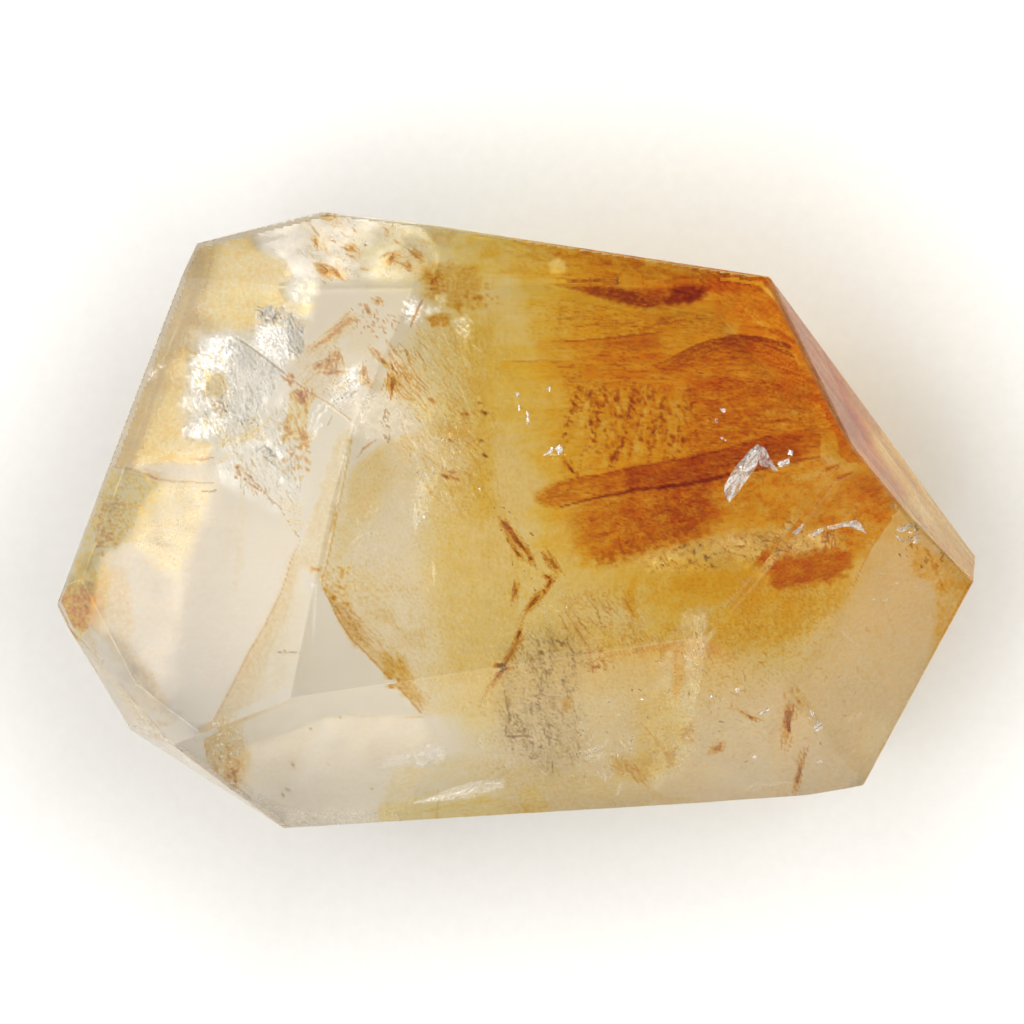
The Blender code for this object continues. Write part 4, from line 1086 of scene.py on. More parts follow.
    # reddish specks and the thin crack running down right
    for x, y, r in ((237, 467, 2.6), (239, 473, 3.0), (236, 477, 2.0), (245, 479, 1.8)):
        c.blob(x, y, r * 0.9, r * 0.6, 60, rough=2.0, scale=3, orange=0.6, brown=0.9)
    c.line([(241, 466), (252, 478), (262, 490), (270, 500), (279, 506), (290, 525), (303, 544)], [0.5, 0.8, 0.9, 0.6, 0.5, 0.4], 0.6, 2.2, 5, tex=T_spot(5, 5, -0.35, 0.25, 430), brown=0.42, grey=0.10)
    c.hairs([(248, 474), (268, 492), (262, 500), (246, 484)], 10, (3, 8), 48, 30, (0.5, 1.0), 103, brown=0.8)
    c.area([(284, 500), (302, 502), (303, 530), (292, 535), (284, 520)], 4, 3, 6, tex=T_vein(5, 0.25, 104), tan=0.55, sheen=0.2)
    c.line([(190, 459), (196, 459), (202, 460), (214, 457)], [0.6, 1.0, 0.6], 0.6, 0.5, 6, brown=0.4, grey=0.1)
    c.line([(202, 491), (210, 492), (216, 490)], 0.7, 0.6, 0.6, 6, grey=0.5, brown=0.3)
    # rusty band on the far side of the facet line
    band = [(292, 388), (303, 391), (316, 394), (309, 406), (305, 424), (309, 438), (304, 451), (299, 447), (299, 437), (291, 440), (283, 439), (285, 425), (289, 408)]
    c.area(band, 2.2, 5, 7, tex=T_mul(T_str(80, 18, 3.0, 0.9, 1.1, 105), T_fbm(8, 9, 1, 1.0, 431)), orange=0.20, gold=0.25, tan=0.25, brown=0.06, wipe=0.6)
    c.hairs(band, 50, (4, 14), 76, 18, (0.4, 0.8), 523, brown=0.26, orange=0.20)
    c.spots(band, 22, (1.2, 2.6), 606, 78, 20, 2.4, wipe=0.7)
    c.area([(280, 424), (293, 427), (294, 443), (281, 442)], 4, 5, 4, tex=T_spot(5, 5, -0.15, 0.3, 524), orange=0.4, brown=0.4)
    c.area([(297, 430), (313, 434), (306, 456), (295, 450)], 4, 5, 4, tex=T_spot(5, 5, -0.15, 0.3, 106), orange=0.4, brown=0.4)
    c.hairs([(296, 391), (314, 393), (308, 404), (296, 402)], 12, (4, 12), 70, 30, (0.7, 1.5), 107, brown=0.55)
    c.spots([(280, 450), (312, 448), (308, 482), (284, 478)], 26, (0.7, 1.8), 108, 70, 40, 1.9, brown=0.40, orange=0.2)
    c.hairs([(283, 373), (292, 373), (296, 384), (284, 384)], 8, (4, 10), 50, 30, (0.8, 1.6), 109, brown=0.5, orange=0.2)
    c.line([(285, 374), (298, 384), (312, 394)], [0.5, 0.8, 0.5], 0.6, 0.9, 6, brown=0.5)
    c.line([(312, 394), (327, 402.5)], 0.7, 0.6, 0.3, 6, brown=0.3)
    c.line([(327, 402), (340, 412), (352, 421)], 0.6, 0.5, 0.2, 6, brown=0.35)
    c.line([(326, 404.2), (340, 414), (351, 423)], 0.6, 0.5, 0.2, 6, sheen=0.5)
    # window: bundle of fibres and its flakes
    for k in range(6):
        o = k * 3.0
        c.line([(306 + o * 0.8, 350 - o * 0.2), (318 + o, 342 - o * 0.5 + 2), (334 + o * 0.8, 331 - o * 0.4), (347 + o * 0.6, 320 - o * 0.1), (357, 316 + o * 0.6)],
               [0.3, 0.6, 0.8, 0.7, 0.4], 0.6, 1.8, 8, brown=0.16 - 0.03 * (k % 3), orange=0.22, gold=0.2)
    c.hairs([(306, 350), (346, 314), (358, 318), (344, 334), (318, 354)], 40, (8, 20), -40, 10, (0.35, 0.6), 525, orange=0.22, brown=0.10)
    c.area([(304, 352), (346, 314), (360, 316), (350, 330), (322, 352)], 5, 3, 9, tex=T_str(-40, 22, 3, 0.8, 1.2, 110), tan=0.24, gold=0.08, haze=0.15)
    c.area([(290, 345), (330, 345), (350, 395), (318, 398), (296, 380)], 9, 5, 12, tex=T_str(62, 20, 4, 1, 0.9, 111), peach=0.35, haze=0.10)
    c.hairs([(292, 350), (335, 345), (345, 390), (305, 395)], 40, (8, 22), 128, 18, (0.4, 0.9), 112, tan=0.5, orange=0.06)
    c.area([(345, 322), (380, 322), (372, 352), (348, 350)], 7, 5, 12, tan=0.14, peach=0.12)
    c.hairs([(388, 348), (424, 345), (425, 396), (396, 398)], 60, (6, 18), 56, 16, (0.4, 0.9), 113, brown=0.30, tan=0.3)
    c.hairs([(352, 300), (402, 318), (396, 344), (352, 332)], 44, (2.5, 7), 55, 40, (0.5, 1.0), 114, brown=0.45)
    # white arcs and lights round the window's lower corner
    for pts in ([(309, 430), (314, 412), (328, 401)], [(313, 434), (319, 415), (333, 404)], [(325, 408), (334, 398), (347, 393)], [(330, 396), (340, 384), (352, 376)],
                [(340, 380), (352, 372), (362, 368)], [(346, 372), (356, 366), (361, 372)], [(312, 440), (316, 430), (322, 424)], [(354, 436), (357, 426), (362, 420)]):
        c.line(pts, [0.4, 1.1, 0.5], 0.8, 2.8, 6, sheen=0.60, haze=0.06)
    c.area([(328, 388), (342, 374), (360, 366), (370, 380), (352, 398), (336, 406)], 6, 9, 6, tex=T_mul(T_str(-30, 10, 2.6, 0.9, 1.4, 115), T_fbm(8, 8, 1, 0.8, 504)), sheen=0.60, haze=0.12)
    c.hairs([(326, 388), (360, 364), (372, 380), (336, 408)], 60, (3, 10), -40, 40, (0.4, 0.8), 526, grey=0.35)
    c.hairs([(330, 370), (380, 372), (374, 420), (340, 412)], 40, (4, 12), -50, 40, (0.4, 1.0), 116, sheen=0.25, haze=0.30)
    c.area([(352, 396), (400, 392), (415, 430), (372, 445), (352, 424)], 9, 6, 12, tex=T_mul(T_fbm(10, 8, 0.9, 1.2, 117), T_str(60, 14, 3, 1, 0.8, 505)), sheen=0.30, haze=0.06, peach=0.14)
    # small brown curls in the cream top
    for pts in ([(318, 213), (326, 211), (334, 213)], [(322, 219), (330, 220), (336, 217)], [(310, 224), (315, 231), (320, 236)], [(313, 238), (318, 246), (316, 252)],
                [(340, 246), (348, 250), (356, 251)], [(346, 254), (354, 257), (358, 262)], [(314, 262), (322, 266), (328, 272)], [(316, 270), (325, 274), (332, 280)],
                [(326, 264), (336, 271), (342, 279)], [(382, 226), (388, 231), (386, 236)], [(380, 258), (388, 253), (396, 254)], [(386, 264), (395, 261), (402, 264)],
                [(400, 270), (404, 264), (410, 260)], [(408, 250), (416, 256), (424, 262)], [(352, 228), (356, 233)], [(360, 268), (368, 270)], [(394, 240), (400, 244)]):
        c.line(pts, [0.4, 1.0, 0.4], 0.7, 1.8, 5, brown=0.42, tan=0.3)
    c.hairs([(306, 214), (346, 212), (350, 284), (312, 282)], 26, (3, 9), 34, 50, (0.4, 0.8), 645, tan=0.4, brown=0.22)
    c.hairs([(376, 222), (428, 228), (424, 280), (378, 276)], 26, (3, 9), -20, 60, (0.4, 0.8), 646, tan=0.4, brown=0.18)
    # star crack, gold ground and its white lights
    c.area([(404, 218), (520, 232), (530, 336), (470, 338), (436, 306), (412, 270)], 10, 8, 14, tex=T_mul(T_ramp(412, 500, 36, 16, 432), T_mul(lambda a, b: 1 - sstep(470, 520, a), T_fbm(14, 10, 0.9, 1.1, 118))), gold=0.30, tan=0.16)
    c.area([(428, 230), (455, 232), (450, 245), (430, 242)], 5, 4, 8, tan=0.34, brown=0.06)
    c.area([(418, 266), (452, 262), (478, 270), (482, 306), (444, 306), (424, 296)], 6, 6, 12, tex=T_fbm(9, 7, 0.9, 1.4, 119), brown=0.22, gold=0.28)
    rng = np.random.default_rng(120)
    for k in range(34):
        a = rng.uniform(0, 2 * math.pi); L = rng.uniform(6, 19)
        c.line([(434 + 2 * math.cos(a), 281 + 2 * math.sin(a)), (434 + L * math.cos(a), 281 + L * math.sin(a))], [0.6, 0.5, 0.3], 0.8, 3.5, 5, brown=0.20)
    c.blob(434, 281, 2.4, 1.6, 20, rough=3, brown=0.30)
    c.area([(436, 288), (490, 284), (500, 306), (456, 314)], 9, 10, 8, tex=T_mul(T_spot(7, 5, -0.1, 0.4, 121), T_fbm(7, 5, 0.9, 1.3, 506)), brown=0.34, orange=0.10)
    for poly, s in (([(404, 304), (412, 299), (420, 304), (419, 318), (410, 327), (405, 316)], 1.0), ([(424, 309), (440, 307), (437, 313), (425, 313)], 0.8),
                    ([(455, 318), (470, 316), (473, 334), (464, 342), (456, 330)], 0.55), ([(436, 296), (446, 294), (446, 301), (438, 303)], 0.5)):
        c.area(poly, 3.5, 6, 5, tex=T_fbm(5, 5, 0.9, 1.3, 122), sheen=s, haze=0.15, wipe=0.8)
    c.line([(422, 300), (416, 313), (410, 328)], [0.6, 1.1, 0.6], 0.6, 0.6, 6, brown=0.9)
    c.area([(426, 318), (440, 313), (450, 316), (448, 326), (432, 326)], 2.5, 3, 6, tex=T_fbm(6, 4, 0.9, 1.2, 123), orange=0.35, brown=0.34)
    # fan of fine gold strokes
    fan = [(412, 336), (432, 322), (450, 322), (482, 350), (486, 400), (470, 440), (440, 440), (400, 400), (398, 352)]
    c.area(fan, 12, 8, 14, tex=T_mul(T_str(57, 26, 3.0, 0.8, 1.1, 124), T_fbm(24, 24, 1, 0.6, 433)), gold=0.12, tan=0.06)
    c.area(fan, 10, 8, 14, tex=T_mul(T_thread(15, 4.4, 0.17, 434, 57), T_fbm(20, 20, 0.8, 1.3, 507)), brown=0.16, orange=0.06)
    c.area([(440, 320), (500, 330), (500, 520), (440, 520)], 14, 8, 14, tex=T_mul(T_thread(14, 5, 0.15, 435, 70), T_fbm(24, 20, 1, 0.8, 436)), brown=0.13, tan=0.13)
    c.hairs(fan, 50, (6, 18), 57, 14, (0.35, 0.6), 125, orange=0.12, brown=0.14)
    c.hairs(fan, 50, (5, 14), 57, 12, (0.4, 0.8), 126, sheen=0.20, haze=0.16)
    c.hairs([(400, 395), (480, 400), (478, 500), (430, 500), (400, 450)], 120, (4, 14), 52, 30, (0.4, 0.8), 127, tan=0.4, orange=0.10, brown=0.08)
    c.hairs([(400, 395), (480, 400), (478, 500), (430, 500), (400, 450)], 80, (4, 13), 60, 50, (0.4, 1.0), 128, sheen=0.20, haze=0.18)
    c.area([(462, 326), (500, 320), (500, 510), (470, 520), (474, 420)], 12, 9, 14, tex=T_mul(lambda a, b: 1 - sstep(486, 504, a), T_fbm(14, 20, 1, 0.8, 129)), gold=0.24, tan=0.12)
    for x, y in ((480, 403), (483, 412), (486, 413), (481, 441), (484, 455), (486, 456), (450, 440), (446, 477)):
        c.blob(x, y, 2.6, 1.3, (x * 13) % 60, rough=2, scale=3, grey=0.5, brown=0.8)
    ragged(c, [q[0] for q in rust_shapes if max(a for a, b in q[0]) < 470], 540)
    # warm veil left of the gold, faint level lines
    for x, y, w in ((432, 400, 6), (465, 414, 5), (447, 476, 8), (456, 479, 6), (452, 472, 5)):
        c.blob(x, y, w * 0.7, 1.6, 18, rough=2.5, scale=4, brown=0.7)
    c.line([(328, 425), (332, 416)], 0.7, 0.6, 0.4, 5, grey=0.5)
    c.hairs([(378, 412), (392, 412), (390, 444), (380, 442)], 10, (4, 10), 70, 30, (0.5, 1.0), 130, grey=0.5, brown=0.3)
    c.line([(358, 457), (363, 449), (371, 443), (376, 440)], [0.5, 0.9, 0.5], 0.6, 1.6, 5, brown=0.55)


def paint_centre(c, P):
    """Crisp joint lines, the tan veil and the brown-edged plane of the lower left."""
    # double line running down from the window, peach inside it
    strip = [(352, 422), (350, 440), (345, 465), (340, 490), (335, 520), (328, 552), (321, 580), (300, 562), (306, 530), (318, 500), (326, 470), (336, 440)]
    c.area(strip, 4, 4, 12, tex=T_fbm(14, 24, 1, 0.7, 140), peach=0.52, gold=0.06, haze=0.12)
    tl = [(352, 422), (349.5, 440), (345, 465), (340, 490), (334, 520), (327, 555), (320, 582)]
    c.line(tl, [0.5, 0.8, 0.9, 0.8, 0.5], 0.6, 0.7, 9, tex=T_fbm(9, 9, 1, 0.9, 440), sheen=0.40)
    c.line([(x + 2.0, y) for x, y in tl], [0.4, 0.7, 0.8, 0.7, 0.5], 0.6, 0.7, 9, tex=T_fbm(9, 12, 1, 0.8, 441), orange=0.26, brown=0.10)
    c.line([(x - 7, y) for x, y in tl[1:]], [0.5, 0.8, 0.5], 0.7, 1.2, 9, sheen=0.22, haze=0.1)
    c.line([(336, 505), (334, 520), (330, 532)], [0.8, 1.6, 0.8], 0.8, 1.4, 6, tan=0.6, brown=0.12)
    # tan veil right of it
    veil = [(354, 466), (380, 446), (425, 426), (455, 430), (470, 520), (470, 640), (450, 712), (420, 713), (408, 698), (395, 684), (380, 668), (365, 652),
            (350, 638), (340, 622), (332, 606), (321, 583), (330, 552), (340, 505), (348, 478)]
    ease = lambda a, b: 1 - sstep(430, 545, a + 20 * fbm(a / 30, b / 30, 510, 3))
    veil[3:7] = [(500, 430), (560, 500), (560, 640), (500, 720), (450, 716)]
    c.area(veil, 3.5, 2.6, 12, tex=T_mul(ease, T_fbm(30, 26, 1, 0.6, 141)), tan=0.12, peach=0.28, sheen=0.12)
    c.area(veil, 6, 4, 12, tex=T_mul(T_mul(ease, T_thread(16, 5.5, 0.17, 442, 52)), T_fbm(34, 34, 0.8, 1.2, 443)), tan=0.20)
    c.area(veil, 6, 4, 12, tex=T_mul(T_mul(ease, T_vein(10, 0.12, 444)), T_fbm(40, 40, 0.7, 1.3, 445)), tan=0.15, gold=0.05)
    c.area([(352, 470), (380, 448), (392, 470), (372, 520), (345, 560), (334, 560)], 10, 6, 18, tex=T_fbm(18, 24, 1, 0.8, 142), tan=0.24, gold=0.06)
    c.area([(360, 520), (400, 505), (440, 520), (430, 560), (380, 566), (350, 556)], 14, 8, 18, wipe=0.30, haze=0.10)
    c.shade([(354, 466), (380, 446), (425, 426)], [8, 14, 8], 1, 2, 10, tan=0.16)
    c.area([(310, 572), (360, 566), (400, 590), (380, 610), (340, 600)], 9, 6, 12, tex=T_spot(4, 4, -0.2, 0.4, 143), tan=0.30, orange=0.06)
    c.spots([(306, 566), (350, 566), (350, 612), (330, 600)], 50, (0.7, 1.8), 144, 50, 60, 1.6, orange=0.30, brown=0.15)
    c.hairs([(352, 500), (380, 500), (376, 550), (350, 545)], 16, (4, 12), -60, 40, (0.4, 0.9), 145, sheen=0.25, haze=0.2)
    edge = [(321, 583), (332, 606), (340, 622), (350, 638), (365, 652), (380, 668), (395, 684), (408, 698), (421, 713)]
    c.shade(edge, [6, 10, 14, 12, 9], -1, 1.5, 12, tex=T_str(46, 30, 3.4, 1, 0.8, 146), tan=0.46, brown=0.06)
    c.line(edge, [0.5, 0.8, 1.0, 0.8], 0.7, 1.2, 8, brown=0.34, orange=0.08)
    c.area([(382, 653), (402, 656), (424, 702), (404, 696), (386, 676)], 5, 4, 8, tex=T_str(48, 20, 3, 1, 0.9, 147), gold=0.26, brown=0.14, tan=0.2)
    c.area([(332, 604), (348, 604), (368, 640), (354, 646)], 5, 4, 8, tex=T_str(48, 20, 3, 1, 0.9, 148), brown=0.16, tan=0.3)
    c.hairs([(330, 596), (380, 630), (440, 705), (415, 708), (350, 634)], 44, (8, 22), 47, 12, (0.35, 0.7), 149, tan=0.4, brown=0.10)
    c.hairs([(340, 600), (440, 600), (460, 700), (420, 700)], 60, (5, 14), 50, 30, (0.4, 0.8), 150, tan=0.28)
    c.area([(350, 560), (440, 500), (520, 560), (520, 700), (440, 706), (370, 640)], 18, 10, 14, tex=T_mul(T_thread(12, 5, 0.12, 607, 60), T_fbm(20, 20, 0.8, 1.3, 608)), tan=0.34)
    c.hairs([(380, 560), (520, 540), (520, 700), (440, 706)], 70, (3, 9), 55, 60, (0.4, 0.7), 609, sheen=0.14, haze=0.10)
    c.area([(374, 608), (392, 606), (396, 622), (378, 622)], 5, 4, 8, tan=0.34)
    c.area([(398, 630), (420, 630), (424, 648), (402, 646)], 5, 4, 8, tan=0.30)
    c.area([(424, 480), (490, 460), (520, 560), (520, 660), (490, 740), (440, 710), (430, 600)], 26, 16, 22, tex=T_fbm(20, 24, 0.9, 0.9, 151), gold=0.13, tan=0.10)
    c.area([(416, 470), (432, 470), (430, 510), (414, 530)], 4, 4, 8, tex=T_str(80, 14, 3, 1, 0.9, 152), sheen=0.30, haze=0.3)
    for pts in ([(418, 476), (424, 490), (420, 506)], [(430, 478), (427, 492)], [(441, 456), (448, 470)], [(443, 490), (449, 498)], [(414, 502), (416, 526)],
                [(411, 440), (419, 450)], [(433, 560), (434, 584)], [(438, 470), (433, 500)], [(452, 430), (446, 446)]):
        c.line(pts, [0.5, 1.4, 0.5], 0.8, 1.8, 6, sheen=0.5, haze=0.2)
    c.hairs([(405, 430), (460, 430), (462, 520), (410, 530)], 60, (4, 14), 74, 30, (0.4, 0.9), 153, sheen=0.26, haze=0.2)
    # clear wedge under the apex, with its own facet line
    c.line([(316, 585), (314.5, 610), (313, 645)], [0.7, 1.2, 0.5], 0.7, 0.6, 9, sheen=0.35)
    c.line([(305, 655), (296, 690), (284, 700)], [0.6, 1.0, 0.5], 0.8, 1, 9, sheen=0.10)
    # brown-edged plane
    plane = [(298, 545), (291, 560), (285, 580), (281, 592), (265, 625), (250, 650), (235, 680), (220, 708), (211, 725), (206, 735), (205, 745), (208, 762),
             (222, 780), (236, 792), (247, 775), (249, 755), (243, 738), (236, 728), (246, 712), (256, 690), (260, 665), (270, 640), (286, 612), (290, 590), (300, 560)]
    c.area(plane, 9, 3, 14, tex=T_fbm(22, 26, 1, 0.5, 154), tan=0.10, peach=0.30)
    left_edge = plane[:12]
    c.shade(left_edge, [4, 8, 14, 22, 26, 22, 14, 8], -1, 0.8, 12, tex=T_fbm(16, 22, 1, 0.5, 446), tan=0.48, peach=0.16)
    c.line(left_edge, [0.4, 0.6, 0.8, 0.7, 0.6], 0.6, 0.5, 9, tex=T_fbm(12, 12, 1, 0.7, 447), brown=0.26, tan=0.2)
    c.line([(303, 548), (296, 575), (286, 612), (270, 648), (258, 680), (250, 700)], [0.5, 1.0, 1.0, 0.5], 0.7, 1.0, 12, tan=0.16)
    c.area([(262, 640), (300, 590), (312, 600), (300, 660), (284, 694), (250, 706), (256, 680)], 8, 4, 20, tan=0.08)
    # worn brown patch at its foot
    foot = [(213, 728), (236, 722), (246, 744), (250, 764), (243, 780), (236, 792), (220, 778), (209, 764), (205, 746)]
    c.area(foot, 5, 6, 8, tex=T_fbm(8, 8, 0.9, 1.0, 155), peach=0.2, tan=0.30)
    c.area(foot, 4, 5, 7, tex=T_spot(4.0, 4.0, 0.05, 0.4, 156), haze=0.4, sheen=0.10, wipe=0.4)
    c.spots([(210, 745), (240, 745), (240, 785), (215, 775)], 70, (0.6, 1.6), 157, 40, 70, 1.6, tan=0.4, brown=0.10)
    c.spots([(228, 772), (240, 770), (236, 788), (226, 784)], 22, (0.7, 1.6), 158, 40, 70, 1.5, brown=0.5)
    # facet lines on the lower left
    c.line([(180, 741), (193, 736), (206, 731)], 0.6, 0.6, 0.4, 9, sheen=0.4)
    c.line([(213, 728), (240, 718), (262, 708), (276, 702), (281, 694)], [0.5, 0.8, 0.9, 0.6], 0.6, 0.6, 9, sheen=0.45)
    c.area([(275, 703), (276, 694), (281, 692), (281, 702)], 1.6, 0.8, 5, sheen=0.6)
    c.line([(172, 742), (176, 746), (178, 740)], 1.3, 0.7, 1, 4, grey=0.5, brown=0.4)
    c.line([(210, 728), (238, 719), (258, 711)], [0.4, 1.0, 0.4], 0.8, 0.5, 9, tan=0.3)
    for x, y, r in ((293, 765, 2.2), (329, 764, 1.4), (372, 789, 1.3), (288, 790, 2.6), (283, 795, 2.0), (379, 765, 1.2), (340, 718, 1.6), (311, 729, 1.6)):
        c.blob(x, y, r * 1.2, r * 0.6, (x * 11) % 90, rough=2.2, scale=3, grey=0.24, brown=0.2)
    c.hairs([(278, 652), (298, 648), (296, 656), (280, 656)], 3, (8, 14), -6, 10, (0.5, 0.8), 159, grey=0.4, brown=0.2)
    # bright ragged gleams near the lower edge
    c.area([(412, 765), (410, 755), (428, 744), (446, 750), (444, 760), (424, 766)], 4, 5, 7, tex=T_str(-24, 14, 3.4, 0.9, 1.0, 160), sheen=0.50, haze=0.4)
    c.area([(380, 762), (410, 750), (412, 764), (386, 768)], 5, 5, 7, tex=T_fbm(6, 5, 0.9, 1.2, 161), sheen=0.26, haze=0.25)
    c.area([(414, 803), (440, 793), (470, 783), (504, 780), (504, 788), (474, 797), (440, 801)], 2.2, 2, 8, tex=T_str(-14, 22, 3.0, 0.9, 1.0, 162), sheen=0.55, haze=0.3)
    c.line([(414, 803), (436, 799), (466, 791), (480, 787)], [0.6, 1.5, 1.2, 0.5], 0.7, 1.0, 8, sheen=0.8)
    c.line([(424, 812), (450, 806), (500, 800)], 0.8, 0.8, 1, 9, orange=0.2)
    c.line([(438, 790), (437, 818)], 0.9, 0.7, 0.6, 9, tan=0.5)


def paint_speckle(c, P):
    """Lower centre: grey-black dust, comb arcs, pale column, straight joint lines."""
    dust = [(500, 690), (508, 650), (528, 638), (545, 626), (576, 636), (584, 662), (574, 700), (586, 745), (560, 776), (532, 764), (503, 740), (500, 712)]
    c.area(dust, 16, 10, 14, tex=T_fbm(14, 14, 1, 0.8, 170), grey=0.05, mauve=0.05)
    c.area(dust, 14, 12, 12, tex=T_mul(T_vein(10, 0.08, 171, 12), T_fbm(22, 22, 0.5, 1.9, 172)), grey=0.50, brown=0.20)
    c.area(dust, 10, 9, 10, tex=T_mul(T_thread(9, 4.5, 0.16, 450, 62), T_fbm(16, 16, 0.6, 1.6, 451)), grey=0.22, brown=0.12)
    c.area(dust, 14, 12, 12, tex=T_mul(T_spot(4.6, 6.5, 0.2, 0.42, 452), T_fbm(22, 22, 0.45, 1.9, 453)), grey=0.46, brown=0.24)
    c.hairs(dust, 60, (5, 15), 66, 34, (0.35, 0.7), 578, grey=0.45, brown=0.2)
    c.spots([(528, 636), (580, 640), (576, 676), (535, 700)], 34, (0.6, 1.4), 174, 60, 60, 1.8, grey=0.55, brown=0.2)
    c.spots([(500, 700), (600, 700), (620, 780), (500, 770)], 50, (0.6, 1.2), 175, 60, 80, 1.6, grey=0.28, brown=0.2)
    c.area([(490, 620), (640, 640), (640, 790), (480, 790)], 20, 10, 16, tex=T_mul(T_vein(8, 0.12, 454), T_fbm(26, 26, 0.8, 1.2, 455)), tan=0.24, grey=0.05)
    for pts in ([(504, 690), (507, 705), (510, 722)], [(505, 722), (507, 736), (514, 738)], [(508, 736), (530, 737)], [(573, 655), (576, 665)], [(556, 641), (562, 643), (568, 638)]):
        c.line(pts, [0.4, 0.9, 0.4], 0.6, 1.6, 5, grey=0.55, brown=0.3)
    c.area([(562, 700), (572, 696), (572, 708), (564, 712)], 3, 3, 5, orange=0.2, brown=0.14)
    # comb arcs (a row of short curved teeth)
    c.area([(596, 634), (690, 618), (696, 644), (600, 666)], 10, 8, 9, tex=T_fbm(12, 10, 0.8, 1.2, 577), gold=0.22)
    for k in range(27):
        t = k / 26.0
        x, y = 604 + 84 * t, 647 - 15 * t + 3 * math.sin(5 * t) + 1.5 * math.sin(23 * t)
        h = 4.5 + 1.6 * math.sin(37 * t)
        c.line([(x - 2.5, y - h), (x, y), (x + 1.5, y + h)], [0.35, 0.7, 0.3], 0.6, 2.2, 6, brown=0.30)
    for k in range(20):
        t = k / 19.0
        x, y = 614 + 62 * t, 660 - 18 * t + 1.5 * math.sin(19 * t)
        c.line([(x - 2, y - 3), (x, y + 1), (x + 3, y + 3)], [0.3, 0.6, 0.3], 0.6, 2.2, 6, brown=0.12)
    for pts in ([(560, 615), (566, 628), (578, 640)], [(572, 610), (580, 622), (590, 634)], [(590, 600), (597, 610), (600, 622), (606, 628)], [(598, 598), (606, 612), (612, 616)],
                [(588, 616), (594, 624), (604, 628)], [(574, 626), (582, 640)], [(606, 600), (612, 610)], [(566, 612), (584, 640), (596, 656)], [(578, 664), (590, 656), (598, 648)],
                [(584, 668), (596, 660), (604, 656)], [(588, 650), (592, 664)], [(600, 652), (606, 668)]):
        c.line(pts, [0.35, 0.8, 0.35], 0.7, 1.8, 6, brown=0.38, grey=0.08)
    c.hairs([(560, 590), (640, 590), (640, 640), (570, 640)], 70, (4, 12), 52, 40, (0.4, 0.8), 176, tan=0.4, brown=0.10)
    c.area([(560, 590), (640, 586), (650, 640), (575, 650)], 8, 6, 10, tex=T_thread(9, 5, 0.18, 456, 60), brown=0.24)
    c.hairs([(580, 655), (612, 645), (616, 668), (590, 676)], 44, (3, 9), 40, 70, (0.5, 1.0), 177, brown=0.40, orange=0.1)
    # pale column
    col = [(686, 612), (706, 610), (708, 640), (701, 690), (694, 722), (694, 752), (676, 775), (652, 788), (648, 760), (660, 720), (656, 690), (668, 650)]
    c.area(col, 6, 9, 9, tex=T_mul(T_str(82, 40, 5, 1, 0.7, 178), T_fbm(14, 14, 1, 0.5, 457)), haze=0.18, sheen=0.24, wipe=0.45, gold=0.14)
    c.area([(694, 616), (707, 612), (708, 640), (700, 690), (693, 722), (689, 700), (692, 660)], 2.2, 1.5, 12, tex=T_str(84, 30, 3.0, 0.9, 1.0, 179), haze=0.12, sheen=0.34, gold=0.08)
    c.line([(708, 637), (704, 665), (700, 690), (694, 722)], 0.7, 0.6, 0.4, 9, tan=0.5)
    c.area([(674, 640), (684, 640), (684, 680), (676, 702), (672, 690)], 2.5, 2, 9, tex=T_str(82, 20, 3, 1, 0.9, 180), orange=0.16, brown=0.10, gold=0.34)
    c.area([(674, 655), (690, 655), (690, 668), (680, 668)], 3, 4, 6, sheen=0.3, haze=0.2)
    c.line([(850, 465), (820, 503), (785, 550), (745, 596), (707, 637)], [0.4, 0.6, 0.8, 0.9, 0.8], 0.5, 0.4, 12, sheen=0.16, haze=0.08, wipe=0.28)
    # warm stains round the column foot
    c.area([(612, 760), (650, 752), (660, 770), (648, 786), (616, 778)], 6, 5, 10, tex=T_str(30, 14, 4, 1, 1.0, 181), gold=0.34, brown=0.06)
    c.hairs([(612, 764), (640, 762), (644, 784), (620, 776)], 18, (6, 16), 46, 24, (0.4, 0.9), 182, orange=0.2, brown=0.25)
    c.area([(640, 700), (668, 690), (690, 724), (668, 770), (640, 770), (634, 730)], 10, 6, 14, tex=T_fbm(11, 11, 0.9, 1.1, 183), gold=0.30, tan=0.06)
    c.line([(640, 722), (652, 736), (662, 748), (672, 762)], [0.5, 1.0, 0.5], 0.7, 2.4, 6, brown=0.26, gold=0.3)
    c.area([(680, 730), (694, 728), (695, 742), (682, 743)], 2.5, 2.5, 5, tex=T_spot(5, 4, -0.25, 0.3, 184), orange=0.26, brown=0.34)
    c.area([(664, 750), (678, 748), (678, 764), (668, 768)], 2.5, 2.5, 5, tex=T_spot(5, 4, -0.25, 0.3, 185), orange=0.25, brown=0.26)
    c.hairs([(560, 730), (640, 726), (640, 780), (570, 780)], 44, (4, 12), -40, 50, (0.4, 0.9), 186, sheen=0.18, haze=0.2)
    c.hairs([(578, 752), (606, 746), (600, 760), (580, 762)], 10, (8, 16), -22, 16, (0.6, 1.3), 187, sheen=0.40, haze=0.2)
    for pts in ([(500, 772), (508, 764), (514, 760)], [(540, 770), (546, 774)], [(617, 796), (622, 782)], [(604, 768), (606, 784)], [(622, 742), (626, 750)], [(608, 738), (604, 748)]):
        c.line(pts, [0.4, 1.0, 0.4], 0.7, 1.6, 5, sheen=0.35, haze=0.2)
    c.area([(480, 690), (488, 700), (486, 718), (480, 714)], 3, 4, 6, sheen=0.35, haze=0.4)
    c.area([(478, 730), (486, 736), (482, 750), (476, 748)], 3, 4, 6, sheen=0.2, haze=0.3)
    c.area([(655, 690), (700, 690), (720, 760), (650, 780), (600, 740)], 20, 10, 20, tex=T_fbm(10, 12, 0.9, 1.1, 188), haze=0.12)
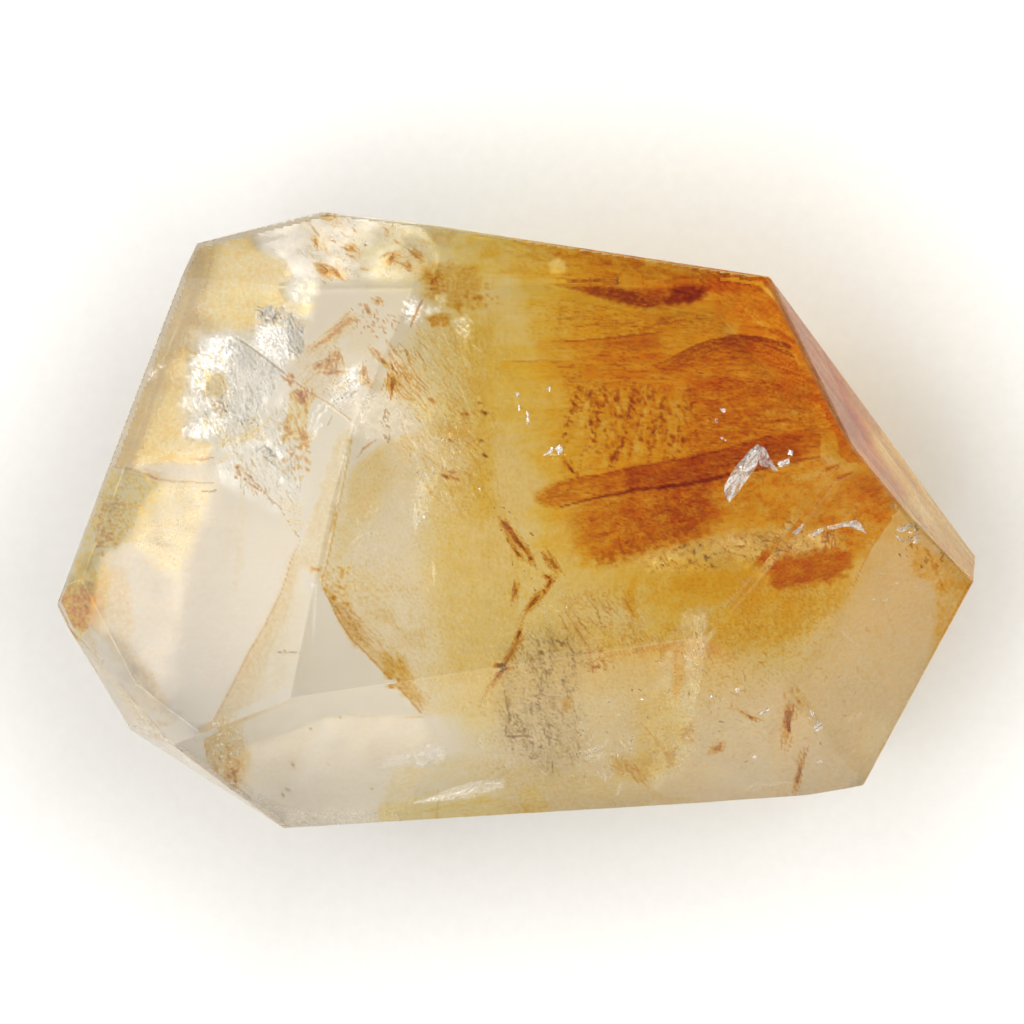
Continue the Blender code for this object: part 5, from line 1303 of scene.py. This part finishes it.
    c.hairs([(655, 640), (710, 640), (700, 760), (640, 780)], 70, (4, 12), 60, 60, (0.4, 0.8), 189, sheen=0.16, haze=0.14)
    ragged(c, [q[0] for q in rust_shapes if 470 <= max(a for a, b in q[0]) < 860], 640)
    # dust and threads right of the column
    c.hairs([(640, 640), (760, 620), (800, 640), (760, 700), (700, 720)], 90, (4, 12), 48, 60, (0.4, 0.8), 190, tan=0.4, brown=0.14)
    c.area([(640, 640), (800, 620), (850, 600), (840, 660), (780, 740), (700, 780), (600, 780)], 16, 10, 16, tex=T_mul(T_vein(9, 0.12, 458), T_fbm(30, 30, 0.8, 1.2, 459)), tan=0.17, brown=0.04)
    c.area([(700, 640), (800, 620), (846, 604), (820, 650), (760, 690), (700, 690)], 14, 8, 12, tex=T_thread(12, 6, 0.16, 460, -36), gold=0.30, brown=0.10)
    c.line([(842, 631), (850, 639), (858, 646)], [0.5, 1.0, 0.5], 0.7, 0.8, 6, sheen=0.3, haze=0.3)
    c.line([(874, 728), (882, 722), (889, 713)], [0.5, 0.9, 0.5], 0.7, 0.8, 6, sheen=0.25, haze=0.25)
    c.line([(748, 788), (760, 783), (772, 786), (784, 781), (793, 784)], [0.4, 0.8, 0.4], 0.7, 1.4, 6, sheen=0.2, haze=0.25)
    c.area([(838, 782), (846, 764), (866, 752), (870, 760), (852, 784)], 1.4, 0.8, 8, peach=0.24, haze=0.08)
    c.hairs([(720, 640), (880, 600), (880, 720), (780, 790), (660, 790)], 60, (3, 9), 40, 80, (0.4, 0.9), 461, tan=0.3, brown=0.08)


left_mat = stain_mat("stain_left", 3400.0, 0.45, gleam_rough=0.24, bump=0.6, bump_scale=4200.0)
sheet("left_fractures", (125, 203, 508, 560), lambda a, b: dome(a, b, 0.8) - 1.3 + 0.35 * fbm(a / 60, b / 60, 75, 3), paint_left, 1.45, left_mat)
sheet("tan_planes", (170, 405, 520, 832), lambda a, b: dome(a, b, 0.8) - 1.7 + 0.3 * fbm(a / 80, b / 80, 76, 3), paint_centre, 1.6, left_mat)
sheet("speckle_film", (470, 450, 865, 812), lambda a, b: dome(a, b, 0.8) - 2.0 + 0.4 * fbm(a / 80, b / 80, 77, 3), paint_speckle, 1.6, left_mat)


# ------------------------------------------------------- rim and crust films ----
def paint_crust(c, P):
    """Iron crust inside the left tip."""
    crust = [(108, 468), (135, 470), (160, 482), (150, 500), (138, 515), (130, 530), (120, 545), (100, 553), (95, 560), (97, 575), (96, 590), (92, 605),
             (86, 620), (80, 636), (55, 610), (62, 585), (78, 550), (92, 505)]
    c.area(crust, 4, 6, 7, tex=T_fbm(6, 6, 0.8, 1.8, 200), gold=0.46)
    c.area([(100, 495), (134, 500), (132, 530), (112, 548), (92, 540)], 5, 5, 9, tex=T_mul(T_vein(6, 0.16, 201), T_fbm(14, 14, 0.9, 1.0, 470)), gold=0.9, tan=0.24, brown=0.06)
    c.area([(100, 480), (150, 478), (140, 512), (104, 506)], 6, 5, 9, tex=T_vein(8, 0.13, 202), tan=0.35, gold=0.6)
    c.area([(84, 585), (97, 580), (95, 600), (84, 632), (55, 612), (66, 590)], 3, 4, 7, tex=T_fbm(4.5, 4.5, 0.9, 1.6, 203), gold=1.5)
    c.area([(62, 588), (97, 580), (84, 634), (54, 610)], 3, 4, 7, tex=T_spot(4.2, 4.2, 0.0, 0.3, 204), tan=0.25, gold=0.9)
    c.spots([(96, 528), (112, 530), (104, 556), (94, 552)], 30, (0.6, 1.5), 205, 60, 60, 1.5, gold=1.0, brown=0.10, tan=0.5)
    c.spots([(92, 500), (128, 505), (120, 545), (96, 550)], 110, (0.5, 1.3), 206, 60, 80, 1.5, gold=1.0, brown=0.03, tan=0.4)
    c.spots([(60, 600), (92, 588), (88, 628), (72, 628)], 110, (0.5, 1.4), 207, 60, 80, 1.5, gold=1.0, brown=0.08, tan=0.4)
    c.area([(78, 556), (97, 552), (97, 580), (70, 586)], 5, 4, 10, tex=T_fbm(6, 6, 0.9, 1.3, 208), gold=0.6)
    c.line([(108, 466), (130, 469), (145, 474), (160, 480), (182, 482), (214, 483)], [0.7, 1.2, 1.1, 0.8, 0.5, 0.4], 0.7, 1.4, 7, brown=0.16, tan=0.2, grey=0.12)
    c.hairs([(126, 462), (160, 470), (158, 484), (130, 474)], 14, (5, 14), 22, 18, (0.5, 1.1), 209, brown=0.18, tan=0.2)


def paint_bevel(c, P):
    """Tan and cream streaks that follow the long right bevel."""
    band = [(764, 268), (800, 305), (884, 410), (938, 486), (988, 560), (980, 584), (940, 548), (905, 516), (890, 492), (858, 452), (828, 412), (804, 360), (784, 330)]
    c.area(band, 4, 1, 20, tex=T_str(53, 90, 3.0, 0.9, 0.8, 210, 1.0), tan=0.40, gold=0.30, haze=0.68)
    c.area([(764, 268), (800, 305), (856, 374), (884, 430), (858, 446), (828, 412), (804, 360), (784, 330)], 7, 2, 14, tex=T_str(53, 70, 2.6, 0.9, 0.8, 610, 1.0), tan=1.5, gold=0.80, brown=0.04, haze=0.24)
    c.area(band, 4, 1, 20, tex=T_str(53, 60, 2.2, 0.3, 1.5, 480, 1.0), tan=0.95, brown=0.10)
    inner = [(768, 274), (790, 326), (808, 358), (832, 410), (860, 448), (895, 488), (906, 506)]
    c.shade(inner, [6, 9, 13, 14, 12, 8], -1, 0.6, 12, tex=T_str(53, 50, 2.4, 0.9, 0.8, 481, 1.0), brown=0.40, gold=0.5)
    c.line([(812, 346), (826, 368), (845, 396), (872, 433), (905, 484), (940, 534)], [1, 2.6, 3.6, 4.2, 4.6, 3], 0.7, 1.2, 14, tex=T_str(54, 60, 2.4, 1, 0.7, 211, 1.0), sheen=0.34, haze=0.20, wipe=0.4)
    for k, o in enumerate((-8, -5.5, 5, 8.5, 12)):
        c.line([(790 + o, 308), (838 + o, 372), (886 + o, 436), (932 + o, 503)], [0.3, 0.8, 0.6, 0.3], 0.7, 1.2, 20, tan=0.5, brown=0.08)
    c.line(inner, [0.5, 0.9, 1.0, 1.0, 0.8, 0.6], 0.6, 0.6, 12, brown=0.7)
    c.area([(904, 500), (946, 530), (976, 566), (944, 552), (912, 524)], 4, 4, 8, tex=T_fbm(8, 6, 0.9, 1.2, 482), tan=0.4, haze=0.1)
    c.spots([(905, 500), (945, 530), (950, 548), (915, 520)], 16, (0.5, 1.0), 212, 50, 40, 1.4, brown=0.6)


def paint_corner(c, P):
    """Pale frosting inside the worn chamfer of the lower left corner."""
    c.lay(np.arange(len(P)), 0.75 + 0.25 * fbm(P[:, 0] / 2.5, P[:, 1] / 2.5 + P[:, 2] / 4.0, 660, 4), None, haze=0.42, sheen=0.12)


def paint_under_top(c, P):
    """Iron wash inside the back wall, seen from behind; thin in the photograph's view."""
    x = P[:, 0]; z = P[:, 2]
    i = np.arange(len(x))
    w = sstep(-14, 4, x) * (0.35 + 0.65 * sstep(6, 20, z + 3 * fbm(x / 5, z / 3, 220)))
    c.lay(i, w, T_fbm(30, 9, 1, 0.0, 221), gold=0.30)
    c.lay(i, w * sstep(-0.1, 0.5, fbm(x / 1.6, z / 5.0, 222, 4)), None, orange=0.22, brown=0.06)


def paint_right_wall(c, P):
    """Orange bloom inside the right corner wall."""
    y = P[:, 1]; z = P[:, 2]
    w = np.exp(-((y + 4) / 5.5) ** 2) * (0.4 + 0.6 * sstep(2, 12, z + 3 * fbm(y / 3, z / 4, 224)))
    c.lay(np.arange(len(y)), w * (1 + 0.7 * fbm(y / 1.2, z / 5, 225, 4)), None, orange=0.26, tan=0.2)


crust_mat = stain_mat("stain_crust", 3600.0, 0.60, haze_col=(0.75, 0.5, 0.25), bump=0)
bevel_mat = stain_mat("stain_bevel", 2400.0, 0.35, haze_col=(0.83, 0.57, 0.27), gleam_rough=0.3, bump=0.2)
sheet("crust_film", (50, 455, 225, 645), lambda a, b: dome(a, b, 0.8) - 1.0, paint_crust, 1.35, crust_mat, margin=0.08)
facet_film("bevel_streaks", "right_bevel", 0.5, 0.13, paint_bevel, bevel_mat, margin=0.1)
facet_film("corner_frost", "left_corner_bevel", 0.45, 0.3, paint_corner, bevel_mat, margin=0.1)
facet_film("wash_back_wall", "under_top", 0.4, 0.35, paint_under_top, gold_mat)
facet_film("wash_right_wall", "under_right_lower", 0.4, 0.3, paint_right_wall, gold_mat)


# ------------------------------------------------------------ loose flakes ----
rust = []
for q, dz, tz, tw in rust_shapes:
    q = np.asarray(q, float)
    f = 0.46 if q[:, 0].max() < 470 else 0.62
    rust.append(((q * f + q.mean(0) * (1 - f)).tolist(), dz, tz, tw))
rust += chips([(478, 488), (520, 520), (565, 570), (545, 610), (520, 590), (490, 520)], 22, (3, 8), (2.0, 3.6), 301, 50, 20, 3.0)
rust += chips([(310, 230), (430, 245), (420, 275), (310, 278)], 12, (2.5, 6), (1.4, 2.4), 302, 35, 30, 2.2)
rust += chips([(900, 525), (950, 545), (945, 575), (900, 560)], 16, (2, 6), (1.4, 2.6), 303, 60, 40, 2.0)
rust += chips([(600, 690), (760, 690), (860, 700), (840, 770), (640, 770)], 14, (2, 6), (1.6, 3.4), 304, 40, 70, 2.0)
rust += chips([(560, 240), (760, 270), (780, 290), (600, 280)], 10, (3, 8), (2.0, 3.6), 305, 20, 20, 3.0)

white = [([(725, 485), (733, 470), (744, 459), (750, 450), (757, 444), (761, 453), (757, 466), (746, 481), (737, 494), (729, 503), (724, 495)], 2.2, 0.25, 0.10),
         ([(514, 391), (518, 392), (520, 398), (517, 397)], 2.0, 0.1, 0.2), ([(517, 404), (520, 405), (521, 411), (518, 410)], 2.0, 0.1, 0.2),
         ([(526, 411), (529, 412), (529, 424), (527, 425)], 2.1, 0.1, 0.2), ([(545, 387), (551, 386), (550, 392)], 2.0, 0.1, 0.2),
         ([(543, 456), (551, 447), (557, 446), (553, 452)], 2.2, 0.2, 0.1), ([(555, 449), (560, 444), (566, 455), (558, 456)], 2.2, 0.2, 0.1),
         ([(547, 452), (560, 456), (552, 459)], 2.3, 0.2, 0.1), ([(720, 408), (726, 409), (725, 413), (721, 412)], 1.9, 0.1, 0.1),
         ([(719, 437), (724, 437), (722, 440)], 1.9, 0.1, 0.1), ([(777, 463), (789, 458), (790, 465), (780, 467)], 2.2, 0.2, 0.1),
         ([(788, 449), (793, 451), (792, 456), (788, 455)], 2.1, 0.1, 0.1), ([(897, 495), (900, 494), (904, 502), (900, 502)], 1.7, 0.1, 0.1),
         ([(792, 533), (803, 523), (804, 526), (797, 535)], 2.3, 0.2, 0.1), ([(808, 535), (815, 530), (824, 527), (824, 531), (813, 537)], 2.3, 0.2, 0.1),
         ([(824, 527), (838, 524), (848, 521), (857, 520), (862, 526), (867, 534), (857, 527), (846, 527), (830, 530)], 2.3, 0.2, 0.1),
         ([(896, 529), (905, 525), (914, 523), (913, 528), (900, 533)], 1.8, 0.2, 0.1), ([(914, 523), (921, 523), (921, 529), (915, 528)], 1.8, 0.2, 0.1),
         ([(895, 533), (904, 541), (903, 544), (896, 538)], 1.9, 0.2, 0.1), ([(908, 536), (921, 535), (920, 540), (910, 540)], 1.9, 0.2, 0.1),
         ([(735, 689), (738, 688), (739, 692), (736, 693)], 2.0, 0.1, 0.1), ([(708, 694), (712, 695), (713, 700), (710, 700)], 2.0, 0.1, 0.1),
         ([(757, 713), (768, 707), (770, 710), (760, 716)], 2.2, 0.2, 0.1), ([(808, 708), (813, 710), (817, 717), (813, 717)], 1.9, 0.2, 0.1),
         ([(817, 720), (821, 722), (824, 729), (818, 730)], 1.9, 0.2, 0.1), ([(753, 755), (757, 756), (756, 760), (753, 759)], 1.6, 0.1, 0.1),
         ([(817, 761), (823, 760), (823, 763), (818, 764)], 1.5, 0.1, 0.1), ([(564, 607), (568, 606), (568, 609)], 2.2, 0.1, 0.1)]
white += chips([(535, 600), (560, 560), (560, 620), (545, 625)], 12, (2, 6), (2.0, 3.2), 311, 60, 30, 2.6, 0.2)
white += chips([(705, 415), (725, 412), (725, 440), (708, 440)], 5, (3, 7), (1.9, 2.4), 312, 10, 30, 3.0, 0.2)
white += chips([(640, 640), (720, 650), (760, 720), (640, 780), (560, 740)], 26, (2, 6), (1.6, 3.4), 313, 50, 60, 2.4, 0.25)
white += chips([(780, 690), (870, 630), (880, 740), (800, 780)], 12, (2, 5), (1.5, 3.0), 314, 50, 60, 2.4, 0.25)
white += chips([(880, 565), (930, 575), (910, 612), (870, 600)], 16, (1.5, 4.5), (1.5, 2.6), 315, 50, 60, 2.0, 0.25)
white += chips([(900, 522), (925, 528), (918, 545), (898, 540)], 9, (2, 6), (1.6, 2.2), 316, 20, 60, 2.0, 0.25)
white += chips([(400, 420), (470, 430), (500, 520), (430, 540)], 30, (2, 6), (1.6, 3.0), 317, 70, 30, 2.6, 0.25)

wing = [([(757, 444), (766, 449), (772, 461), (779, 472), (768, 468), (760, 465), (758, 454)], 2.25, 0.2, 0.1),
        ([(735, 468), (748, 452), (755, 446), (752, 456), (742, 466)], 2.1, 0.2, 0.1),
        ([(262, 309), (270, 306), (276, 312), (272, 320), (264, 318)], 1.6, 0.4, 0.1)]
wing += chips([(255, 310), (300, 315), (300, 365), (262, 360)], 14, (3, 9), (1.4, 2.4), 321, 80, 20, 2.6, 0.4)
wing += chips([(225, 345), (275, 375), (262, 420), (226, 415)], 24, (3, 9), (1.5, 2.8), 322, 78, 20, 2.6, 0.4)
wing += chips([(215, 420), (300, 400), (300, 490), (230, 480)], 24, (3, 9), (1.6, 3.2), 323, 66, 30, 2.6, 0.4)

rust_mat = plate_mat("flake_rust", (0.38, 0.18, 0.035), (0.76, 0.47, 0.17), (0.05, 0.62), through=(0.88, 0.68, 0.36))
white_mat = plate_mat("flake_white", (0.80, 0.80, 0.80), (0.98, 0.98, 0.98), (0.75, 1.0), gloss=0.75, rough=0.18)
silver_mat = plate_mat("flake_silver", (0.45, 0.46, 0.48), (0.85, 0.85, 0.85), (0.20, 0.75), gloss=0.8, rough=0.25)
plates("flakes_rust", rust, rust_mat, 5)
plates("flakes_white", white, white_mat, 6)
plates("flakes_silver", wing, silver_mat, 7)

# ---------------------------------------------------------- surroundings ----
def paper():
    """One sheet of pale paper with light and shade painted into its colour: painted light makes it whitest where the
    stone stands, and painted shade darkens it under the stone's edge and in a ring round it (darkest towards -x and
    -y), paling outward.
    """
    near = np.linspace(-0.07, 0.07, 141)
    far = 0.07 * (3.0 / 0.07) ** (np.arange(1, 17) / 16.0)
    ax = np.concatenate([-far[::-1], near, far])
    X, Y = np.meshgrid(ax, ax)
    P = np.stack([X.ravel(), Y.ravel(), np.full(X.size, -0.00003)], -1)
    n = len(ax)
    idx = np.arange(n * n).reshape(n, n)
    q = np.stack([idx[:-1, :-1], idx[:-1, 1:], idx[1:, 1:], idx[1:, :-1]], -1).reshape(-1, 4)
    wall = [i for i, k in enumerate(F_NAME) if k.startswith("under_")]
    d = np.max([(P[:, :2] / MM @ FN[i, :2] - FD[i]) / np.hypot(*FN[i, :2]) for i in wall], 0)
    r = np.hypot(P[:, 0], P[:, 1]) + 1e-9
    # painted shade: paper albedo in a ring round the stone, darker towards -x and -y, lighter towards +x and +y
    painted_shade_level = PAPER_PAINTED_SHADE_LEVEL + 0.06 * P[:, 0] / r + 0.09 * P[:, 1] / r - 0.05 * np.clip(-P[:, 0] / r, 0, 1)
    # painted shade: under the stone the paper darkens towards the stone's edge, most on the +x side
    foot = (0.54 + 0.40 * P[:, 0] / r) * (1.0 - painted_shade_level)
    # painted light under the stone (tone 1.0), painted shade near its edge and in the ring round it, paling to 0.98 far
    # out
    tone = np.where(d < 0, 1.0 - foot * sstep(-1.6, -0.1, d), painted_shade_level + (0.98 - painted_shade_level) * sstep(2, 38, d))
    # the tone attribute carries the painted light and shade into the paper's base colour
    col = np.stack([tone, tone * 0.998, tone * 0.99, np.ones(len(tone))], -1)
    ob = link(bpy.data.objects.new("floor", mesh_from("floor", P, q, {"tone": col})))
    m, nt, out = new_mat("paper_painted_light_shade")
    fp = nt.nodes.new("ShaderNodeBsdfPrincipled")
    fp.inputs["Roughness"].default_value = 0.9
    fp.inputs["Specular IOR Level"].default_value = 0.1
    at = nt.nodes.new("ShaderNodeAttribute"); at.attribute_name = "tone"
    nz = noise_node(nt, 900.0, 3.0, 0.6)
    mx = nt.nodes.new("ShaderNodeMix"); mx.data_type = "RGBA"; mx.blend_type = "MULTIPLY"; mx.inputs["Factor"].default_value = 1.0
    g = nt.nodes.new("ShaderNodeCombineColor")
    for k in ("Red", "Green", "Blue"):
        nt.links.new(remap(nt, nz.outputs["Fac"], 0.3, 0.7, 0.955, 0.985), g.inputs[k])
    nt.links.new(at.outputs["Color"], mx.inputs["A"]); nt.links.new(g.outputs[0], mx.inputs["B"])
    nt.links.new(mx.outputs["Result"], fp.inputs["Base Color"])
    nt.links.new(fp.outputs[0], out.inputs["Surface"])
    ob.data.materials.append(m)


# albedo level of the painted shade in the ring round the stone
PAPER_PAINTED_SHADE_LEVEL = 0.74
paper()


def lobe(nt, vec, axis, a, b, lo, hi):
    N, L = nt.nodes.new, nt.links.new
    dp = N("ShaderNodeVectorMath"); dp.operation = "DOT_PRODUCT"; L(vec, dp.inputs[0])
    dp.inputs[1].default_value = Vector(axis).normalized()
    m = N("ShaderNodeMapRange"); m.interpolation_type = "SMOOTHSTEP"; L(dp.outputs["Value"], m.inputs["Value"])
    for k, val in zip(("From Min", "From Max", "To Min", "To Max"), (a, b, lo, hi)):
        m.inputs[k].default_value = val
    return m.outputs[0]


def studio():
    """Soft light from all round, strongest on the left, with dimmer parts overhead, behind and front right."""
    w = bpy.data.worlds.new("studio"); bpy.context.scene.world = w; w.use_nodes = True
    w.cycles.sampling_method = "NONE"
    nt = w.node_tree
    N, L = nt.nodes.new, nt.links.new
    tc = N("ShaderNodeTexCoord"); vec = tc.outputs["Generated"]
    sp = N("ShaderNodeSeparateXYZ"); L(vec, sp.inputs[0])
    val = remap(nt, sp.outputs["Z"], 0.0, 0.85, SKY_LOW, SKY_HIGH)
    ad = N("ShaderNodeMath"); ad.operation = "ADD"; L(val, ad.inputs[0]); L(lobe(nt, vec, (-0.85, -0.10, 0.52), 0.20, 0.98, 0.0, BOX_GAIN), ad.inputs[1])
    val = ad.outputs[0]
    for dim in (lobe(nt, vec, (0, 0, 1), 0.905, 0.985, 1.0, 0.10), lobe(nt, vec, (-0.10, 0.62, 0.78), 0.82, 0.97, 1.0, 0.12),
                lobe(nt, vec, (0.66, -0.60, 0.44), 0.80, 0.96, 1.0, 0.22)):
        mu = N("ShaderNodeMath"); mu.operation = "MULTIPLY"; L(val, mu.inputs[0]); L(dim, mu.inputs[1])
        val = mu.outputs[0]
    bg = nt.nodes["Background"]; L(val, bg.inputs["Strength"])
    bg.inputs["Color"].default_value = (1, 0.985, 0.95, 1)


SKY_LOW, SKY_HIGH, BOX_GAIN = 1.02, 1.50, 1.95
studio()

cam_d = bpy.data.cameras.new("cam"); cam = link(bpy.data.objects.new("cam", cam_d))
cam_d.lens = 120; cam_d.sensor_width = 36; cam_d.clip_start = 0.01; cam_d.clip_end = 20
cam.location = CAM * MM; cam.rotation_euler = (0, 0, 0)
sc = bpy.context.scene
sc.camera = cam
sc.view_settings.view_transform = "Standard"
sc.cycles.max_bounces = 16
sc.cycles.transmission_bounces = 16
sc.cycles.glossy_bounces = 10
sc.cycles.diffuse_bounces = 3
sc.cycles.transparent_max_bounces = 40
